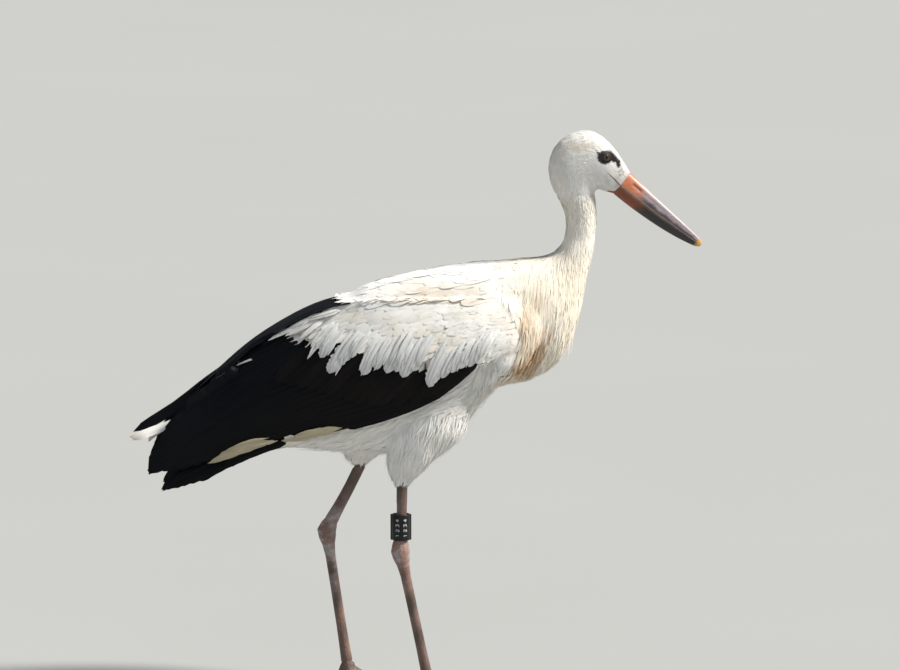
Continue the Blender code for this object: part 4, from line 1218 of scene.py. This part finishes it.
def lids(word, centre, out, fore, up):
    """Wrinkled bare skin from the eyeball's rim out to the skin of the head."""
    t = np.arange(56) * 2 * math.pi / 56
    corner = 1 + 0.14 * np.maximum(0, np.cos(t - math.radians(160))) ** 6

    def lid_place(wide, tall):
        return (fore * (np.cos(t) * wide * corner)[..., None] + up * (np.sin(t) * tall)[..., None]) * MM

    hits = [SKIN.ray_cast(Vector(centre + p + out * 30 * MM), Vector(-out), 0.05)[0] for p in lid_place(9.7, 9.3)]
    shore = np.array([5.6 * MM if hit is None else (np.array(hit) - centre) @ out for hit in hits])
    ball = np.sqrt(EYE_R ** 2 - (lid_place(5.2, 4.5) ** 2).sum(-1))
    share = np.linspace(0, 1, 14)[:, None]
    rim = np.exp(-((share - 0.10) / 0.13) ** 2) * 0.45
    fold = (np.exp(-((share - 0.46) / 0.09) ** 2) * 0.28
            + np.exp(-((share - 0.74) / 0.08) ** 2) * 0.16) * (1 + 0.4 * np.sin(3 * t + 1))
    level = ball * (1 - ease(0.0, 1.0, share)) + (shore + 0.15 * MM) * ease(0.0, 1.0, share)
    lift = (rim + fold - 0.50 * (share > 0.93) + 0.10 * np.sin(9 * t) * share * (1 - share)) * MM
    lift[0] = -0.5 * MM
    rows = centre + lid_place(5.2 + 4.2 * share, 4.5 + 4.4 * share) + out * (level + lift)[..., None]
    mesh = loft_mesh(f"lids_{word}", np.concatenate([rows, rows[-1:] - out * 1.2 * MM]), closed=False)
    grey = np.repeat(np.where(np.linspace(0, 1, 15) < 0.22, 0.016, 0.006), 56)
    set_tint(mesh, np.stack([grey * 1.05, grey * 0.97, grey], 1))
    piece(f"lids_{word}", mesh, BARE, "white_plumage")


def gape():
    """The corner of the mouth: a thin dark fold with a pink lip, running back from the bill below the eye."""
    count, t = 40, np.arange(12) * math.pi / 6
    for word, sign in SIDES.items():
        line = curve_through(np.array([BILL_FOOT + ALONG * a * MM + ACROSS * c * MM for a, c in
                                       ((0.6, -3.6), (-4, -2.9), (-13.4, -0.9), (-22, 0.4), (-30.5, 1.2))]), count)
        hits = [SKIN.ray_cast(Vector((x, sign * 0.06, z)), Vector((0, -sign, 0)), 0.08)[0] for x, _, z in line]
        points = np.array([(x, sign * 0.012, z) if hit is None else tuple(hit) for hit, (x, _, z) in zip(hits, line)])
        for _ in range(3):
            points[1:-1, 1] = (points[:-2, 1] + points[2:, 1] + points[1:-1, 1]) / 3
        out = unit(np.array((0.25, sign, 0.0)))
        side = unit(np.cross(unit(np.gradient(points, axis=0)), out))
        side = (side * np.sign(side[:, 2:3]))[:, None]
        taper = (np.sin(np.linspace(0.35, 1, count) * math.pi) ** 0.5 + 0.05)[:, None]
        dark = np.exp(-(np.cos(t) / 0.35) ** 2)
        tall = np.sin(t) * 0.55 * taper - 0.45 * dark * (np.sin(t) > 0) * taper + 0.25
        rings = points[:, None] + (side * (np.cos(t) * 0.9 * taper)[..., None] + out * tall[..., None]) * MM
        mesh = loft_mesh(f"gape_{word}", rings)
        lip = np.array((0.24, 0.12, 0.09)) * (1 - dark[:, None]) + np.array((0.03, 0.014, 0.012)) * dark[:, None]
        set_tint(mesh, np.tile(lip, (count, 1)))
        piece(f"gape_{word}", mesh, BARE, "lower_bill")


BARE = noise_look("bare_skin", 0.55, (700.0, 4.0), 0.7, 1.2, (0.5, 0.0005), Specular_IOR_Level=0.25)
bill()
eyes()
gape()


# ---------------------------------------------------------------- legs, feet, claws and ring

TOES = ("inner", "middle", "outer", "hind")
# Where each bare leg goes up into the thigh's feathers.
LEG_TOPS = {"right": [(-21.2, -44, 290), (-21, -44, 312), (-18, -44, 350)],
            "left": [(-92, 42.3, 318), (-82.5, 42, 338), (-72, 42, 366)]}
HEELS = {"right": 214, "left": 238}               # heights of the heel joints
LEG_BROWN, LEG_PINK, CHALK_AND_HIGHLIGHT = (np.array(c) for c in ((0.080, 0.056, 0.042), (0.32, 0.18, 0.145), (0.36, 0.38, 0.38)))


def leg_look():
    look = Look("leg_scales", 0.5)
    where = look.place((1, 1, 0.75))
    far = look.add("TexVoronoi", feature="DISTANCE_TO_EDGE", Vector=where, Scale=330.0).outputs["Distance"]
    each = look.add("TexVoronoi", Vector=where, Scale=330.0).outputs["Color"]
    look.tinted(look.ramp(each, (0.0, 0.80), (1.0, 1.12)), look.ramp(far, (0.0, (0.62, 0.58, 0.56)), (0.10, 1.0)))
    fine = look.bump(look.noise(where, 800.0, 3.0), 0.2, 0.0003)
    look.bump(look.ramp(far, (0.0, 0.0), (0.16, 1.0)), 0.55, 0.0006, Normal=fine)
    return look.mat


def legs():
    look = leg_look()
    circle = [(math.cos(t), math.sin(t)) for t in np.arange(20) * math.pi / 10]
    for word in SIDES:
        names = [f"shank_{word}", f"tarsus_{word}", f"foot_{word}"] + [f"toe_{word}_{toe}" for toe in TOES]
        stub = loft_mesh("stub", [at(*[(x + 8.3 * a, y + 7.5 * b, z) for a, b in circle])
                                  for x, y, z in LEG_TOPS[word]])
        mesh = remeshed(grown_copy(names, 0.35 * MM, [stub]), (1.05) * MM, 5)
        points, normals, _ = arrays_of(mesh)
        z = drawing(points)[2]
        foot = middle(f"foot_{word}")
        far = np.hypot(points[:, 0] - foot[0], points[:, 1] - foot[1]) / MM
        scute = (0.5 + 0.5 * np.cos(far * 2 * math.pi / 3.3)) ** 3 * (ease(26, 8, z) * (normals[:, 2] > 0.15))
        points = points - normals * ((0.30 * scute * ease(12, 18, far) + 0.10) * MM)[:, None]
        for toe in TOES:                          # the toes narrow towards their claws
            claw = arrays_of(NODES[f"claw_{word}_{toe}"].data)[0]
            reach = np.linalg.norm(claw - foot, axis=1)
            root = claw[reach < np.percentile(reach, 30)].mean(0)
            away = unit((root - foot) * (1, 1, 0.3))
            run = (points - root) @ away
            pinch = 0.42 * ease(-11, 0.5, run / MM) * (np.linalg.norm(points - root, axis=1) < 14 * MM)
            points = points - (points - root - run[:, None] * away) * pinch[:, None]
        points[:, 2] = np.maximum(points[:, 2], 0.00002)
        smoothed(mesh, points)
        n, m = wobble(points, 0.030, 81), wobble(points, 0.011, 82)
        joint = np.exp(-((z - HEELS[word]) / 42) ** 2)
        # Chalky patches on both legs, with more on the far (left) leg as a painted highlight down its middle.
        chalk_and_highlight = np.clip(0.35 * m + 0.30 * n + (0.42 if word == "left" else 0.0), 0, 0.75)
        set_tint(mesh, layered(
            np.tile(LEG_BROWN, (len(points), 1)),
            (LEG_PINK, np.clip(0.30 + 0.55 * joint + 0.25 * n, 0, 1)),
            (CHALK_AND_HIGHLIGHT, chalk_and_highlight * ease(110, 220, z) * ease(300, 250, z)),
            # darker towards the floor, and darker at the shank's top as painted shade under the thigh
            (LEG_BROWN * 0.75, 0.45 * ease(60, 10, z) + 0.6 * ease(255, 300, z))))
        piece(f"leg_{word}", mesh, look, "leg_skin", *names)


def claws():
    horn = noise_look("claw_horn", 0.38, (260.0, 4.0), (0.030, 0.024, 0.021), (0.085, 0.066, 0.055), (0.3, 0.0003),
                      stretch=(1, 1, 3))
    for name in NODES:
        if name.startswith("claw_"):
            mesh = smoothed(remeshed(grown_copy([name], 0.12 * MM), 0.40 * MM, 4))
            piece(name + "_horn", mesh, horn, "claw", name)


DIGITS = {"1": [((1, 4), (1, 0)), ((0.3, 3.4), (1, 4))],
          "2": [((0, 3.6), (0.6, 4)), ((0.6, 4), (1.4, 4)), ((1.4, 4), (2, 3.2)), ((2, 3.2), (0, 0)), ((0, 0), (2, 0))],
          "3": [((0, 4), (2, 4)), ((2, 4), (0.9, 2.4)), ((0.9, 2.4), (2, 1.6)), ((2, 1.6), (1.6, 0)),
                ((1.6, 0), (0, 0))],
          "4": [((1.5, 0), (1.5, 4)), ((1.5, 4), (0, 1.3)), ((0, 1.3), (2, 1.3))]}
RING_INNER, RING_OUTER = 11.4, 14.0               # radii


def ring():
    """Black plastic ring with a clasp ridge and plain counting digits cut in white."""
    plastic = noise_look("ring_plastic", 0.4, (500.0, 4.0), (0.005, 0.0055, 0.006), (0.011, 0.012, 0.013),
                         (0.12, 0.0002), Specular_IOR_Level=0.25)
    centre = middle("leg_ring")
    half = (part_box("leg_ring")[1].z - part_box("leg_ring")[0].z) / 2 / MM
    lower_half = [(RING_INNER, -half + 0.5), (RING_INNER + 0.5, -half), (RING_OUTER - 0.7, -half),
                  (RING_OUTER - 0.2, -half + 0.25), (RING_OUTER, -half + 0.8)]
    rows = np.array(lower_half + [(radius, -height) for radius, height in reversed(lower_half)])
    radius, height = rows[:, :1], rows[:, 1:]
    a = np.arange(120) * 2 * math.pi / 120
    wide = radius + 1.7 * (1 - ease(0.9, 1.7, np.abs(np.sin(a)) * radius)) * (radius > 13)
    rings = centre + np.stack([wide * np.cos(a), wide * np.sin(a), height + 0 * a], -1) * MM
    piece("ring_body", loft_mesh("ring_body", np.concatenate([rings, rings[:1]]), closed=False), plastic, "ring",
          "leg_ring")
    body = bmesh.new()
    for column in (-62, -112, 68, 118):
        for i, figure in enumerate("1234"):
            for stroke in DIGITS[figure]:
                # Each digit lies on its side, so that the number reads up the ring.
                (a0, h0), (a1, h1) = [(math.radians(column) - (v - 2) * 0.085, -13.6 + i * 7.6 + u * 2.0)
                                      for u, v in stroke]
                flat = unit(np.array(((a1 - a0) * RING_OUTER, h1 - h0)))
                side = np.array((-flat[1], flat[0])) * 0.34
                for k in range(3):
                    corners = [(a0 + (a1 - a0) * s / 3 + w * side[0] / RING_OUTER, h0 + (h1 - h0) * s / 3 + w * side[1])
                               for s, w in ((k, -1), (k + 1, -1), (k + 1, 1), (k, 1))]
                    lower, upper = [[body.verts.new(centre + np.array((r * math.cos(q), r * math.sin(q), h)) * MM)
                                     for q, h in corners] for r in (RING_OUTER - 0.05, RING_OUTER + 0.12)]
                    body.faces.new(upper)
                    for q in range(4):
                        body.faces.new((lower[q], lower[(q + 1) % 4], upper[(q + 1) % 4], upper[q]))
    bmesh.ops.recalc_face_normals(body, faces=body.faces)
    mesh = bpy.data.meshes.new("ring_digits")
    body.to_mesh(mesh)
    body.free()
    piece("ring_digits", mesh, noise_look("ring_digits", 0.6, (300.0, 3.0), (0.50, 0.52, 0.50), (0.66, 0.68, 0.66)),
          "ring")


legs()
claws()
ring()


# ---------------------------------------------------------------- stage, light and camera

def floor():
    mesh = raw_mesh("floor", np.array([(-40, -20, 0), (40, -20, 0), (40, 60, 0), (-40, 60, 0)], float),
                    np.array([[0, 1, 2, 3]]), False)
    mesh.materials.append(noise_look("pale_floor", 0.9, (0.8, 2.0), (0.36, 0.365, 0.36), (0.37, 0.375, 0.37)))
    ob = bpy.data.objects.new("floor", mesh)
    bpy.context.scene.collection.objects.link(ob)


def lamp(name, kind, place_at, aim_at, energy, colour, **size):
    data = bpy.data.lights.new(name, kind)
    data.energy, data.color = energy, colour
    for key, value in size.items():
        setattr(data, key, value)
    ob = bpy.data.objects.new(name, data)
    ob.location = place_at
    ob.rotation_euler = (Vector(aim_at) - Vector(place_at)).to_track_quat("-Z", "Y").to_euler()
    bpy.context.scene.collection.objects.link(ob)


def light_and_camera():
    lamp("key", "SUN", (3.5, -0.47, 3.5), (0, 0, 0.0), 6.5, (1.0, 0.97, 0.90), angle=math.radians(11))
    lamp("fill", "AREA", (-1.0, -4.0, 2.2), (0, 0, 0.5), 20, (0.90, 0.96, 1.0), shape="DISK", size=2.5)
    scene = bpy.context.scene
    scene.world = bpy.data.worlds.new("sky")
    scene.world.use_nodes = True
    sky = scene.world.node_tree.nodes["Background"].inputs
    sky["Color"].default_value = (0.80, 0.88, 1.0, 1)
    sky["Strength"].default_value = 0.30
    aim, far, half_width = at((51, 0, 538))[0], 12.0, 0.675      # what the camera looks at, from where, how wide
    data = bpy.data.cameras.new("camera")
    data.sensor_width, data.lens = 36.0, 18.0 / (half_width / far)
    data.clip_end = 200
    cam = bpy.data.objects.new("camera", data)
    cam.location = Vector(aim) + Vector((0, -math.cos(CAMERA_RISE), math.sin(CAMERA_RISE))) * far
    cam.rotation_euler = (math.pi / 2 - CAMERA_RISE, 0, 0)
    scene.collection.objects.link(cam)
    scene.camera = cam
    scene.view_settings.view_transform = "Standard"


floor()
light_and_camera()
